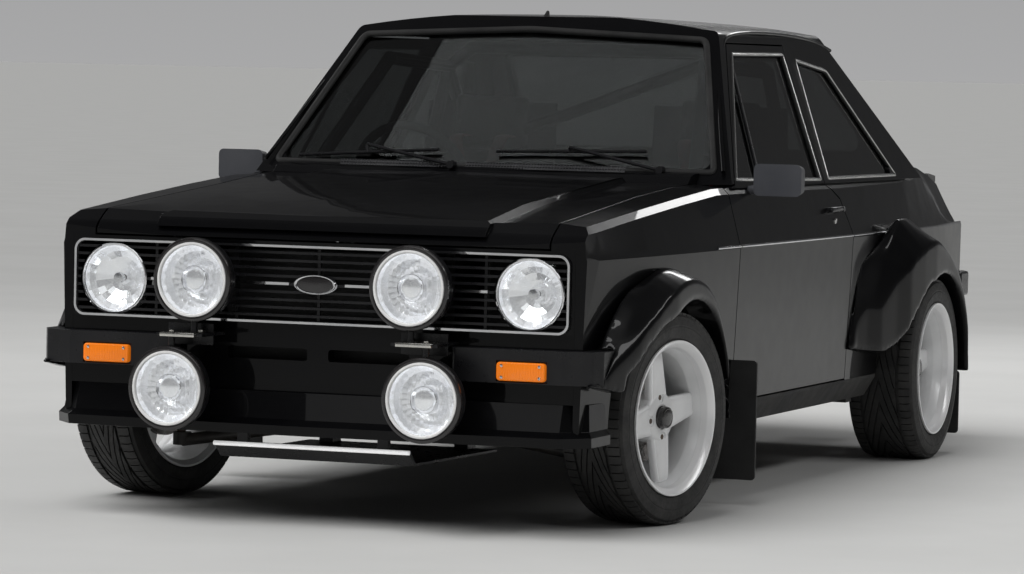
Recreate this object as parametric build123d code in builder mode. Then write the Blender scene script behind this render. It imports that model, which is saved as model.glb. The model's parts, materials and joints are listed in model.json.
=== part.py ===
"""A two-door saloon prepared for rallying, in separate panels, glass, lamps, wheels and inner pieces.

Millimetres. X is positive to the car's left, Y runs from the nose to the tail and Z up from the ground.
While it is modelled, Y is measured from the front axle. save() moves each finished piece to the car's own
frame, whose origin is on the ground under the middle of the car's length.
"""
from build123d import *

import os
from math import cos, radians, sin, tan

# Driving dimensions of the whole car
WHEELBASE = 2407.0
MIDDLE_BEHIND_FRONT_AXLE = 1287.5
BODY_GAP = 5.0
SEAT_GAP = 0.3
RUNNING_GAP = 0.05

# Wheels, tyres and steering
TYRE_RADIUS = 288.0
RIM_RADIUS = 209.0
STUB_RADIUS = 20.0
STUB_LENGTH = 42.0
HUB_RADIUS = 70.0
HUB_DEPTH = 56.0
CAP_RADIUS = 30.0
LUG_CIRCLE_RADIUS = 54.0
LUG_POCKET_RADIUS = 11.0
LUG_POCKET_DEPTH = 16.0
SPOKES = 4
SPOKE_DEPTH = 30.0
SPOKE_HALF_INNER = 46.0
SPOKE_HALF_OUTER = 31.0
DISC_RADIUS = 124.0
DISC_THICKNESS = 20.0
# Middle plane's x, tyre width and depth from the outer edge to the hub's face
FRONT_WHEEL = (727.0, 198.0, 45.0)
REAR_WHEEL = (760.0, 218.0, 74.0)
KINGPIN_X = 627.0
KINGPIN_LEAN = 13.0
STRUT_RADIUS = 25.0
STRUT_TOP_Z = 738.0
PIVOT_RADIUS = 12.0
TURRET_Z = 750.0
TURRET_HEIGHT = 24.0
STEER_REST = 12.0
BALL_JOINT_Z = 190.0
SPRING_X = 470.0
SILL_FRONT_Y = 380.0
SILL_REAR_Y = 2100.0
AXLE_FLOOR_Z = 440.0

# Lower body
SILL_Z = 218.0
SEAM_Z = 287.0
CREASE_Z = 728.0
CREASE_HALF = 6.0
BELT_Z = 888.0
SKIN = 36.0
DOOR_THICKNESS = 66.0
QUARTER_THICKNESS = 50.0
NOSE_Y = -587.0
NOSE_TOP_Z = 746.0
TAIL_Y = 3245.0
TAIL_TOP_Y = 3158.0
DOOR_FRONT_Y = 601.0
DOOR_REAR_Y = 1713.0
BONNET_REAR_Y = 556.0
BONNET_THICKNESS = 28.0
BULGE_HALF = 468.0
BULGE_HEIGHT = 13.0
BOOT_FRONT_Y = 2757.0
BOOT_HALF = 640.0
BOOT_LIP_Z = 792.0
LID_THICKNESS = 26.0
WHEELHOUSE_RADIUS = 372.0
REAR_WHEELHOUSE_RADIUS = 345.0
ARCH_OPENING_RADIUS = 314.0
REAR_ARCH_OPENING_RADIUS = 302.0
FLARE_STEP = 6
ENGINE_BAY_HALF = 440.0
ENGINE_LOW_Z = 310.0
RAIL_INNER_X = 350.0
RAIL_LOW_Z = 247.0
FLOOR_THICKNESS = 26.0
TUNNEL_RADIUS = 118.0
JACK_X = 700.0
JACK_YS = (480.0, 1900.0)
JACK_PAD = 56.0
JACK_DROP = 12.0
# Rubber buffers that the bonnet and the boot lid lie on when shut
BONNET_BUFFER_Y = -400.0
BOOT_BUFFER_X = 580.0
BUFFER_WIDTH = 16.0
BUFFER_HALF = 12.0
INNER_WING_TOP_Z = 764.0
TUNNEL_WALL = 16.0
TUB_INNER_X = 600.0
TUB_WALL = 6.0
STEP_Y = 1860.0
SHELF_Y = 2300.0
SHELF_Z = 870.0
SEAT_X = 372.0
SEAT_HALF = 228.0
DASH_HALF = 562.0
COLUMN_LEAN = 25.0
STEERING_CENTRE = (-SEAT_X, 1000.0, 880.0)
STEERING_RADIUS = 172.0
CAGE_RADIUS = 20.0
HOOP_Y = 1640.0
GUARD_HALF = 279.0
FLAP_THICKNESS = 9.0
PIPE_RADIUS = 22.0
PIPE_X = 300.0
PIPE_Z = 188.0
MIRROR = (834.0, 805.0, 912.0)
DOOR_INNER_X = 672.0
PANEL_HALF = 716.0
PANEL_RIM = 10.0
GRILLE_HALF = PANEL_HALF - PANEL_RIM
SPOILER_HALF = PANEL_HALF + 46
TAIL_PANEL_HALF = 640.0
BONNET_HALF_FRONT = PANEL_HALF - 71
BONNET_HALF_MIDDLE = 622.0
BONNET_HALF_REAR = 638.0
FRAME_THICKNESS = 36.0
# Heights at which each flare stops, ahead of the wheel and behind it
FRONT_FLARE_FEET = (402.0, 262.0)
REAR_FLARE_FEET = (380.0, 262.0)
BONNET_LOW_Z = 811.0
BONNET_HIGH_Z = 897.0
SCUTTLE_FRONT_Z = 900.0
SCUTTLE_REAR_Z = 926.0

# Front panel, grille and lamps
SPOILER_TOP_Z = 350.0
GRILLE_Y = -574.0
GRILLE_LOW_Z = 530.0
GRILLE_HIGH_Z = 737.0
GRILLE_CORNER = 30.0
GRILLE_BARS = 9
GRILLE_PITCH = 20.7
GRILLE_BAR = 7.0
GRILLE_DEPTH = 16.0
BADGE_Z = 635.0
BADGE_HALF = 60.0
SLOT_MIDDLE_X = 145.0
SLOT_MIDDLE_Z = 449.0
SLOT_WIDTH = 230.0
SLOT_HEIGHT = 32.0
LAMP_WALL = 4.0
LAMP_RIM = 9.0
HEADLAMP_X = GRILLE_HALF - 113
HEADLAMP_Y = -566.0
HEADLAMP_Z = 631.0
HEADLAMP_RADIUS = 97.0
DRIVING_LAMP_RADIUS = 111.0
LIP_TOP_Z = 884.0
TAIL_LAMP_X = 545.0
TAIL_LAMP_WIDTH = 170.0
TAIL_LAMP_HEIGHT = 120.0
TAIL_LAMP_Z = 672.0
BUMPER_LOW_Z = 403.0
BUMPER_HIGH_Z = 491.0
REAR_BUMPER_LOW_Z = 484.0
REAR_BUMPER_HIGH_Z = 566.0
INDICATOR_X = 590.0
INDICATOR_HALF = 70.0
INDICATOR_Z = 434.0
SPOILER_LOW_Z = 240.0
# x, y of the rim, z
DRIVING_LAMPS = ((307.0, -694.0, 642.0), (360.0, -724.0, 356.0))

# Sections of the lower body, front to rear. shoulder is the fold along the top of the side, edge the line
# beside the bonnet and boot, crown the height on the middle line.
BODY_COLUMNS = ("y", "sill_x", "crease_x", "shoulder_x", "shoulder_z", "edge_x", "edge_z", "crown_z")
BODY_SECTIONS = (
    (-640, PANEL_HALF + 12, PANEL_HALF + 24, PANEL_HALF + 14, 797, BONNET_HALF_FRONT, 805, 801),
    (-490, PANEL_HALF + 22, PANEL_HALF + 37, PANEL_HALF + 22, 809, BONNET_HALF_FRONT - 3, 817, 813),
    (-142, 755, 773, 740, 840, 625, 846, 848),
    (189, 763, 782, 741, 866, 615, 873, 877),
    (492, 766, 785, 741, 887, 630, 896, 901),
    (760, 767, 786, 741, 888, 640, 905, 915),
    (1700, 767, 786, 741, 886, 640, 900, 905),
    (2400, 762, 777, 734, 893, 640, 910, 918),
    (2600, 757, 768, 712, 915, 642, 934, 948),
    (2770, 752, 758, 694, 904, 646, 926, 942),
    (2900, 745, 748, 690, 857, 648, 914, 926),
    (3045, 734, 735, 703, 752, 648, 886, 896),
    (3300, 706, 712, 686, 742, 640, 826, 838),
)

# Cabin above the belt: one cross-section all along, cut by the two screens and the roof's line
BELT_X = 738.0
ROOF_EDGE_X = 563.0
ROOF_EDGE_Z = 1333.0
ROOF_Z = 1378.0
ROOF_ROUND = 24.0
ROOF_LINE = ((700.0, 1345.0), (1430.0, 1379.0), (2300.0, 1330.0))
PILLAR_SKIN = 42.0
GLASS_DEPTH = 9.0
GLASS_THICKNESS = 5.0
SCREEN_HALF = 640.0
SCREEN_FOOT = (630.0, BELT_Z)
SCREEN_HEAD = (1052.0, 1340.0)
SCREEN_BOW = 50.0
REAR_HEAD = (2104.0, 1268.0)
REAR_FOOT = (2640.0, 908.0)
REAR_BOW = 50.0

# Outlines in side view, (y, z)
DOOR_OUTLINE = (
    (DOOR_FRONT_Y, SEAM_Z + BODY_GAP), (DOOR_REAR_Y, SEAM_Z + BODY_GAP), (DOOR_REAR_Y, 742), (1664, 838),
    (1556, 886), (1608, 1297), (1062, 1297), (690, 896), (DOOR_FRONT_Y, 886),
)
DOOR_GLASS = ((716, 911), (1526, 899), (1579, 1271), (1080, 1268))
QUARTER_GLASS = ((1606, 901), (2349, 901), (1978, 1226), (1690, 1256))
# Outlines seen from the front, (x, z)
SCREEN_GLASS = ((-676, 929), (676, 929), (536, 1307), (0, 1330), (-536, 1307))
REAR_GLASS = ((-600, 962), (600, 962), (505, 1262), (-505, 1262))

# Flares: outline of each by angle round the wheel, from level ahead, over the top, to level behind
FLARE_COLUMNS = ("angle", "on_body", "ridge", "lip")
FRONT_FLARE = (
    (6, 632, 626, 580), (20, 566, 536, 450), (34, 514, 474, 428), (48, 468, 443, 396), (64, 418, 428, 386),
    (90, 404, 393, 371), (112, 394, 380, 357), (132, 374, 352, 333), (152, 356, 336, 325), (174, 344, 332, 322),
)
REAR_FLARE = (
    (6, 700, 650, 520), (18, 716, 606, 370), (30, 726, 583, 400), (43, 608, 567, 432), (58, 520, 572, 424),
    (76, 496, 472, 420), (96, 462, 427, 366), (120, 436, 392, 340), (146, 420, 372, 324), (174, 410, 362, 317),
)
FLARE_X = {"front": (768.0, 802.0, 862.0), "rear": (768.0, 812.0, 893.0)}
# Ahead of each wheel the opening is wider than its circle: y from the axle and z of its outline
FRONT_LEAD = ((0, 600), (-139, 570), (-251, 539), (-337, 494), (-393, 450), (-440, 424), (-455, 380), (-240, 288), (0, 288))
REAR_LEAD = (
    (0, 588), (-140, 566), (-190, 545), (-235, 510), (-282, 473), (-335, 424), (-402, 385), (-535, 345), (-535, 200),
    (0, 200),
)
# In plan the outer face draws in towards its front foot: x and y from the axle
FRONT_DRAW = ((863, -150), (851, -290), (838, -385), (802, -546), (786, -612), (786, -700), (930, -700), (930, -150))
REAR_DRAW = (
    (894, -100), (885, -220), (872, -330), (850, -410), (830, -508), (805, -580), (790, -640), (790, -800), (940, -800),
    (940, -100),
)


def save(made, name):
    """Labels a finished piece, moves it to the car's own frame and writes it."""
    moved = made.part.moved(Location((0, -MIDDLE_BEHIND_FRONT_AXLE, 0)))
    moved.label = name
    export_step(moved, f"parts/{name}.step")


def mirrored_outline(half):
    """A closed outline from its left half, given from the bottom of the middle line to its top."""
    return half + [(-x, z) for x, z in reversed(half) if x > 0]


def body_section(row, inset):
    """The left half of one section of the lower body, moved inwards by inset."""
    shoulder = row["shoulder_x"] - inset
    low = SILL_Z + inset
    rise = (row["edge_z"] - row["shoulder_z"]) * 0.2
    return [
        (0, low),
        (row["sill_x"] - inset - 36, low),
        (row["sill_x"] - inset, low + 60),
        (row["crease_x"] - inset, CREASE_Z - CREASE_HALF),
        (row["crease_x"] - inset - 3, CREASE_Z + CREASE_HALF),
        (shoulder + 5, row["shoulder_z"] - 15 - inset * 0.5),
        (shoulder - 13, row["shoulder_z"] + rise - inset),
        (row["edge_x"] - inset, row["edge_z"] - inset),
        (0, row["crown_z"] - inset),
    ]


def both_sides(piece):
    """A piece of the left side and its twin of the right side."""
    return [piece, piece.mirror(Plane.YZ)]


def outline_block(plane, outline, depth, rounding=0.0, grow=0.0):
    """A block with this outline drawn on a plane, its corners rounded, or its sides moved out by grow."""
    with BuildPart(mode=Mode.PRIVATE) as block:
        with BuildSketch(plane) as profile:
            with BuildLine():
                Polyline(*outline, close=True)
            make_face()
            if rounding:
                fillet(profile.vertices(), rounding)
            if grow:
                offset(amount=grow, kind=Kind.INTERSECTION)
        extrude(amount=depth)
    return block.part


def side_block(outline, low_x, high_x, rounding=0.0, grow=0.0):
    """A block with this outline (y, z) seen from the side, between two values of x."""
    return outline_block(Plane.YZ.offset(low_x), outline, high_x - low_x, rounding, grow)


def front_block(outline, low_y, high_y, rounding=0.0, grow=0.0):
    """A block with this outline (x, z) seen from the front, between two values of y."""
    return outline_block(Plane.XZ.offset(-high_y), outline, high_y - low_y, rounding, grow)


def plan_block(outline, low_z, high_z, rounding=0.0, grow=0.0):
    """A block with this outline (x, y) seen from above, between two values of z."""
    return outline_block(Plane.XY.offset(low_z), outline, high_z - low_z, rounding, grow)


def box(low, high):
    """A box between two corners."""
    size = [b - a for a, b in zip(low, high)]
    middle = [(a + b) / 2 for a, b in zip(low, high)]
    return Pos(*middle) * Box(*size, mode=Mode.PRIVATE)


def rod(start, end, radius):
    """A round bar from one point to another."""
    run = Vector(*end) - Vector(*start)
    base = (Align.CENTER, Align.CENTER, Align.MIN)
    return Plane(origin=start, z_dir=run) * Cylinder(radius, run.length, align=base, mode=Mode.PRIVATE)


def body_form(inset):
    """The lower body as one closed form, moved inwards by inset."""
    with BuildPart(mode=Mode.PRIVATE) as form:
        for values in BODY_SECTIONS:
            row = dict(zip(BODY_COLUMNS, values))
            with BuildSketch(Plane.XZ.offset(-row["y"])):
                with BuildLine():
                    Polyline(*mirrored_outline(body_section(row, inset)), close=True)
                make_face()
        loft(ruled=True)
        with BuildSketch(Plane.YZ) as side_view:
            with BuildLine():
                Polyline(
                    (NOSE_Y + 22 + inset, SILL_Z - 20),
                    (NOSE_Y + 22 + inset, GRILLE_LOW_Z),
                    (NOSE_Y + inset, NOSE_TOP_Z),
                    (NOSE_Y + 30 + inset, NOSE_TOP_Z + 36),
                    (NOSE_Y + 86 + inset, 817),
                    (NOSE_Y + 86 + inset, 1000),
                    (TAIL_TOP_Y - inset, 1000),
                    (TAIL_TOP_Y - inset, 862),
                    (TAIL_Y - 3 - inset, 700),
                    (TAIL_Y - inset, 620),
                    (TAIL_Y - 55 - inset, 500),
                    (TAIL_Y - 150 - inset, 300),
                    (TAIL_Y - 280 - inset, SILL_Z - 20),
                    close=True,
                )
            make_face()
            fillet(side_view.vertices().sort_by_distance((NOSE_Y + 30 + inset, NOSE_TOP_Z + 36))[0], 60)
        extrude(amount=900, both=True, mode=Mode.INTERSECT)
        with BuildSketch() as plan:
            with BuildLine():
                front = ThreePointArc(
                    (-830, NOSE_Y + 28 + inset), (0, NOSE_Y - 4 + inset), (830, NOSE_Y + 28 + inset)
                )
                rear = ThreePointArc(
                    (830, TAIL_Y - 32 - inset), (0, TAIL_Y + 4 - inset), (-830, TAIL_Y - 32 - inset)
                )
                Line(front @ 1, rear @ 0)
                Line(rear @ 1, front @ 0)
            make_face()
        extrude(amount=1100, mode=Mode.INTERSECT)
    return form.part


def screen_block(foot, head, bow, inset, inside):
    """All that lies inside a bowed screen leaning from foot to head; inside is 1 behind it, -1 ahead of it."""
    along = Vector(0, head[0] - foot[0], head[1] - foot[1])
    start = Vector(0, foot[0], foot[1]) - along.normalized() * 600
    radius = (SCREEN_HALF**2 + bow**2) / (2 * bow)
    with BuildPart(mode=Mode.PRIVATE) as block:
        with BuildSketch(Plane(origin=start, x_dir=(1, 0, 0), z_dir=along)):
            with Locations((0, inside * (radius - bow))):
                Circle(radius - inset)
            with Locations((0, inside * 1400)):
                Rectangle(1800, 3100, mode=Mode.INTERSECT)
        extrude(amount=along.length + 3200)
    return block.part


def cabin_form(inset, screens=True):
    """The cabin above the belt as one closed form, moved inwards by inset, with or without its leaning ends."""
    lean = (BELT_X - ROOF_EDGE_X) / (ROOF_EDGE_Z - BELT_Z)
    across = inset * (1 + lean**2) ** 0.5
    with BuildPart(mode=Mode.PRIVATE) as form:
        with BuildSketch(Plane.XZ.offset(-400)) as section:
            with BuildLine():
                low_x = BELT_X - across
                high_x = ROOF_EDGE_X - across + inset * lean
                Polyline((-high_x, ROOF_EDGE_Z - inset), (-low_x, BELT_Z), (low_x, BELT_Z),
                         (high_x, ROOF_EDGE_Z - inset))
                ThreePointArc((high_x, ROOF_EDGE_Z - inset), (0, ROOF_Z - inset), (-high_x, ROOF_EDGE_Z - inset))
            make_face()
            fillet(section.vertices().group_by(Axis.Y)[-1], ROOF_ROUND - inset * 0.4)
        extrude(amount=-2600)
        with BuildSketch(Plane.YZ):
            with BuildLine():
                low, middle, high = [(y, z - inset) for y, z in ROOF_LINE]
                roof = ThreePointArc(low, middle, high)
                Polyline(roof @ 1, (3200, high[1] - 300), (3200, 700), (300, 700), (300, low[1] - 60), roof @ 0)
            make_face()
        extrude(amount=900, both=True, mode=Mode.INTERSECT)
        if screens:
            add(screen_block(SCREEN_FOOT, SCREEN_HEAD, SCREEN_BOW, inset, 1), mode=Mode.INTERSECT)
            add(screen_block(REAR_FOOT, REAR_HEAD, REAR_BOW, inset, -1), mode=Mode.INTERSECT)
    return form.part


def wheel_cut(axle_y, radius, low_x):
    """The round space about a left wheel, outwards from low_x."""
    with BuildPart(mode=Mode.PRIVATE) as cut:
        with BuildSketch(Plane.YZ.offset(low_x)):
            with Locations((axle_y, TYRE_RADIUS)):
                Circle(radius)
        extrude(amount=1000 - low_x)
    return cut.part


def filled_rows(table):
    """The rows of a flare's table with more between them, on a smooth curve through each column."""
    rows = []
    for number in range(len(table) - 1):
        before, start, end, after = [table[max(0, min(len(table) - 1, number + step))] for step in (-1, 0, 1, 2)]
        count = max(1, round((end[0] - start[0]) / FLARE_STEP))
        for piece in range(count):
            t = piece / count
            rows.append([
                ((2 * b) + (c - a) * t + (2 * a - 5 * b + 4 * c - d) * t**2 + (3 * b - a - 3 * c + d) * t**3) / 2
                for a, b, c, d in zip(before, start, end, after)
            ])
    return rows + [table[-1]]


def flare(table, axle_y, levels, feet, opening, lead, draw):
    """A flared arch of the left side, lofted through its outlines on the body, at its ridge and at its lip."""
    with BuildPart(mode=Mode.PRIVATE) as arch:
        for column, x in enumerate(levels, start=1):
            with BuildSketch(Plane.YZ.offset(x)):
                with BuildLine():
                    points = [
                        (axle_y - row[column] * cos(radians(row[0])), TYRE_RADIUS + row[column] * sin(radians(row[0])))
                        for row in filled_rows(table)
                    ]
                    front_foot = (points[0][0] + (feet[0] - points[0][1]) * 0.2, feet[0])
                    rear_foot = (points[-1][0], feet[1])
                    points = [point for point in points if point[1] > feet[0]] if feet[0] > TYRE_RADIUS else points
                    Polyline(front_foot, *points, rear_foot, close=True)
                make_face()
        loft(ruled=True)
        add(body, mode=Mode.SUBTRACT)
        add(box((0, axle_y - 800, 0), (720, axle_y + 800, 1000)), mode=Mode.SUBTRACT)
        add(wheel_cut(axle_y, opening, 700), mode=Mode.SUBTRACT)
        add(side_block([(axle_y + y, z) for y, z in lead], 700, 940), mode=Mode.SUBTRACT)
        add(plan_block([(x, axle_y + y) for x, y in draw], 200, 900), mode=Mode.SUBTRACT)
    return arch.part


def lamp_shell(radius, depth):
    """A round lamp's bowl about Z, its open rim up at zero, thin-walled."""
    with BuildPart(mode=Mode.PRIVATE) as shell:
        with BuildSketch(Plane.XZ):
            with BuildLine():
                Polyline((0, -depth), (radius * 0.42, -depth), (radius * 0.8, -depth * 0.72), (radius, -depth * 0.35),
                         (radius, 6), (radius - LAMP_RIM, 6), (radius - LAMP_RIM, -10), (radius - LAMP_WALL, -10),
                         (radius - LAMP_WALL, -depth * 0.35), (radius * 0.74, -depth * 0.66),
                         (radius * 0.38, -depth + LAMP_WALL), (0, -depth + LAMP_WALL), close=True)
            make_face()
        revolve(axis=Axis.Z)
    return shell.part


def lamp_glass(radius):
    """The domed glass of a round lamp about Z, its edge at zero."""
    with BuildPart(mode=Mode.PRIVATE) as glass:
        with BuildSketch(Plane.XZ):
            with BuildLine():
                Polyline((0, 5), (0, 10), (radius * 0.5, 8), (radius, 1), (radius, -4), (radius * 0.5, 3), close=True)
            make_face()
        revolve(axis=Axis.Z)
    return glass.part


def tyre_form(width):
    """A tyre about Z, its middle at zero."""
    half = width / 2
    side = [(199.5, half - 14), (212, half - 6), (245, half), (272, half - 4)]
    with BuildPart(mode=Mode.PRIVATE) as tyre:
        with BuildSketch(Plane.XZ):
            with BuildLine():
                Polyline(*[(r, -z) for r, z in side], (TYRE_RADIUS - 5, 13 - half), (TYRE_RADIUS, 26 - half),
                         (TYRE_RADIUS, half - 26), (TYRE_RADIUS - 5, half - 13), *reversed(side), close=True)
            make_face()
        revolve(axis=Axis.Z)
    return tyre.part


def rim_form(width, dish):
    """A deep four-spoke wheel with its hub and brake disc about Z, its outer edge up, its middle at zero."""
    half = width / 2
    face = half - dish
    barrel = [
        (RIM_RADIUS, half - 0.5), (RIM_RADIUS, half - 6.5), (198.5, half - 12.5), (198.5, half - 34),
        (182, half - 52), (182, 60 - half), (198.5, 34 - half), (198.5, 12.5 - half), (RIM_RADIUS, 6.5 - half),
        (RIM_RADIUS, 0.5 - half), (202, 0.5 - half), (190, 14 - half), (190, 36 - half), (175, 62 - half),
        (175, half - 58), (186, half - 34), (189, half - 12), (203, half - 0.5),
    ]
    with BuildPart(mode=Mode.PRIVATE) as rim:
        with BuildSketch(Plane.XZ):
            with BuildLine():
                Polyline(*barrel, close=True)
            make_face()
        revolve(axis=Axis.Z)
        with BuildSketch(Plane.XY.offset(face - SPOKE_DEPTH)):
            with PolarLocations(0, SPOKES):
                with BuildLine():
                    Polyline((0, -SPOKE_HALF_INNER), (200, -SPOKE_HALF_OUTER), (200, SPOKE_HALF_OUTER),
                             (0, SPOKE_HALF_INNER), close=True)
                make_face()
            Circle(178.5, mode=Mode.INTERSECT)
        extrude(amount=SPOKE_DEPTH - 8)
        with BuildSketch(Plane.XY.offset(face - HUB_DEPTH)):
            Circle(HUB_RADIUS)
        extrude(amount=HUB_DEPTH)
        with BuildSketch(Plane.XY.offset(face)):
            with PolarLocations(LUG_CIRCLE_RADIUS, SPOKES):
                Circle(LUG_POCKET_RADIUS)
        extrude(amount=-LUG_POCKET_DEPTH, mode=Mode.SUBTRACT)
        with BuildSketch(Plane.XY.offset(face - 4)):
            Circle(CAP_RADIUS)
        extrude(amount=24)
        with BuildSketch(Plane.XY.offset(face - HUB_DEPTH)):
            Circle(DISC_RADIUS)
        extrude(amount=-DISC_THICKNESS)
        with BuildSketch(Plane.XY.offset(face - HUB_DEPTH - DISC_THICKNESS)):
            Circle(STUB_RADIUS + RUNNING_GAP)
        extrude(amount=DISC_THICKNESS + STUB_LENGTH, mode=Mode.SUBTRACT)
    return rim.part


os.makedirs("parts", exist_ok=True)
body = body_form(0)
body_hollow = body_form(SKIN)
cabin = cabin_form(0)
cabin_hollow = cabin_form(PILLAR_SKIN)
glass_layer = cabin_form(GLASS_DEPTH) - cabin_form(GLASS_DEPTH + GLASS_THICKNESS)

# Openings that several pieces share
door_zone = side_block(DOOR_OUTLINE, 420, 830)
door_opening = side_block(DOOR_OUTLINE, 420, 830, grow=BODY_GAP)
door_window = side_block(DOOR_GLASS, 420, 830, 16)
quarter_window = side_block(QUARTER_GLASS, 420, 830, 26)
screen_window = front_block(SCREEN_GLASS, 500, 1250, 40)
rear_window = front_block(REAR_GLASS, 1950, 2800, 60)
cabin_space = box((-DOOR_INNER_X, 590, SEAM_Z - 30), (DOOR_INNER_X, 2560, 1000))
boot_space = plan_block(
    ((-BOOT_HALF - BODY_GAP, BOOT_FRONT_Y - BODY_GAP), (BOOT_HALF + BODY_GAP, BOOT_FRONT_Y - BODY_GAP),
     (BOOT_HALF + BODY_GAP, TAIL_Y + 50), (-BOOT_HALF - BODY_GAP, TAIL_Y + 50)), BOOT_LIP_Z, 1000,
)
bonnet_edge = (
    (BONNET_HALF_FRONT, -700), (BONNET_HALF_FRONT, -420), (BONNET_HALF_MIDDLE, 160), (BONNET_HALF_REAR, BONNET_REAR_Y),
)
bonnet_plan = list(bonnet_edge) + [(-x, y) for x, y in reversed(bonnet_edge)]

# Roof with its pillars and the frames of the two screens
with BuildPart() as roof:
    add(cabin)
    add(cabin_hollow, mode=Mode.SUBTRACT)
    for opening in both_sides(door_opening) + both_sides(quarter_window) + [screen_window, rear_window]:
        add(opening, mode=Mode.SUBTRACT)
save(roof, "roof")

# Doors, each with its window frame
with BuildPart() as door_left:
    add(body)
    add(body_form(DOOR_THICKNESS), mode=Mode.SUBTRACT)
    add(cabin_space, mode=Mode.SUBTRACT)
    add(cabin - cabin_form(FRAME_THICKNESS, screens=False))
    add(door_zone, mode=Mode.INTERSECT)
    add(door_window, mode=Mode.SUBTRACT)
save(door_left, "door_left")
with BuildPart() as door_right:
    add(door_left.part.mirror(Plane.YZ))
save(door_right, "door_right")

# Glass of the doors and of the fixed windows
with BuildPart() as door_glass_left:
    add(glass_layer)
    add(door_window, mode=Mode.INTERSECT)
save(door_glass_left, "door_glass_left")
with BuildPart() as door_glass_right:
    add(door_glass_left.part.mirror(Plane.YZ))
save(door_glass_right, "door_glass_right")
with BuildPart() as fixed_windows:
    add(both_sides(quarter_window))
    add(screen_window)
    add(rear_window)
    add(glass_layer, mode=Mode.INTERSECT)
save(fixed_windows, "fixed_windows")

# Front wings
with BuildPart() as front_wings:
    add(body)
    add(box((-900, -700, SILL_Z - 10), (900, DOOR_FRONT_Y - BODY_GAP, 1000)), mode=Mode.INTERSECT)
    add(body_hollow, mode=Mode.SUBTRACT)
    add(plan_block(bonnet_plan, NOSE_TOP_Z, 1000, grow=BODY_GAP), mode=Mode.SUBTRACT)
    add(box((-BONNET_HALF_REAR - BODY_GAP, 500, 300), (BONNET_HALF_REAR + BODY_GAP, 700, 1000)), mode=Mode.SUBTRACT)
    add(box((-PANEL_HALF, -700, SILL_Z - 20), (PANEL_HALF, -350, NOSE_TOP_Z)), mode=Mode.SUBTRACT)
    add(box((-PANEL_HALF, -700, SILL_Z - 20), (PANEL_HALF, 700, SILL_Z + 60)), mode=Mode.SUBTRACT)
    add(box((-900, SILL_FRONT_Y - SEAT_GAP, 0), (900, 700, SEAM_Z)), mode=Mode.SUBTRACT)
    for space in both_sides(wheel_cut(0, WHEELHOUSE_RADIUS, 400)):
        add(space, mode=Mode.SUBTRACT)
save(front_wings, "front_wings")

# Rear body with its quarter panels and the deck round the boot
with BuildPart() as rear_body:
    add(body)
    add(box((-900, DOOR_REAR_Y - 160, SEAM_Z), (900, 3400, 1000)), mode=Mode.INTERSECT)
    add(body_form(QUARTER_THICKNESS), mode=Mode.SUBTRACT)
    for opening in both_sides(door_opening):
        add(opening, mode=Mode.SUBTRACT)
    add(cabin_space, mode=Mode.SUBTRACT)
    add(cabin, mode=Mode.SUBTRACT)
    add(boot_space, mode=Mode.SUBTRACT)
    add(box((-TAIL_PANEL_HALF, 3080, 0), (TAIL_PANEL_HALF, 3400, BOOT_LIP_Z)), mode=Mode.SUBTRACT)
    for space in both_sides(wheel_cut(WHEELBASE, REAR_WHEELHOUSE_RADIUS, 400)):
        add(space, mode=Mode.SUBTRACT)
save(rear_body, "rear_body")

# Bonnet with its raised middle
slope = (BONNET_HIGH_Z - BONNET_LOW_Z) / (BONNET_REAR_Y - NOSE_Y)
with BuildPart() as bulge_zone:
    with BuildSketch(Plane.XZ.offset(-NOSE_Y)):
        with BuildLine():
            Polyline((-BULGE_HALF, 700), (BULGE_HALF, 700), (BULGE_HALF, BONNET_LOW_Z - 6),
                     (BULGE_HALF - 22, BONNET_LOW_Z + 14), (BULGE_HALF - 22, 900), (22 - BULGE_HALF, 900),
                     (22 - BULGE_HALF, BONNET_LOW_Z + 14), (-BULGE_HALF, BONNET_LOW_Z - 6), close=True)
        make_face()
    extrude(amount=BONNET_REAR_Y - NOSE_Y, dir=(0, 1, slope))
with BuildPart() as bonnet:
    add(body.moved(Location((0, -4, BULGE_HEIGHT))))
    add(bulge_zone.part, mode=Mode.INTERSECT)
    add(box((-700, -700, NOSE_TOP_Z + 30), (700, 700, 1000)), mode=Mode.INTERSECT)
    add(body)
    add(plan_block(bonnet_plan, NOSE_TOP_Z + BODY_GAP, 1000), mode=Mode.INTERSECT)
    add(side_block(
        ((NOSE_Y - 40, NOSE_TOP_Z - 40), (NOSE_Y + 34, NOSE_TOP_Z), (NOSE_Y + 54, NOSE_TOP_Z + 24),
         (NOSE_Y + 104, BONNET_LOW_Z - BONNET_THICKNESS - 6), (BONNET_REAR_Y + 60, BONNET_HIGH_Z - BONNET_THICKNESS),
         (BONNET_REAR_Y + 60, 400), (NOSE_Y - 40, 400)), -800, 800), mode=Mode.SUBTRACT)
save(bonnet, "bonnet")

# Scuttle between the bonnet and the windscreen
with BuildPart() as scuttle:
    with BuildSketch(Plane.YZ):
        with BuildLine():
            Polyline((BONNET_REAR_Y + BODY_GAP, 845), (BONNET_REAR_Y + BODY_GAP, SCUTTLE_FRONT_Z),
                     (BONNET_REAR_Y + 34, SCUTTLE_REAR_Z - 6), (BONNET_REAR_Y + 60, SCUTTLE_REAR_Z),
                     (690, SCUTTLE_REAR_Z + 4), (690, 845), close=True)
        make_face()
    extrude(amount=BONNET_HALF_REAR - 1, both=True)
    add(cabin, mode=Mode.SUBTRACT)
save(scuttle, "scuttle")

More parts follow.
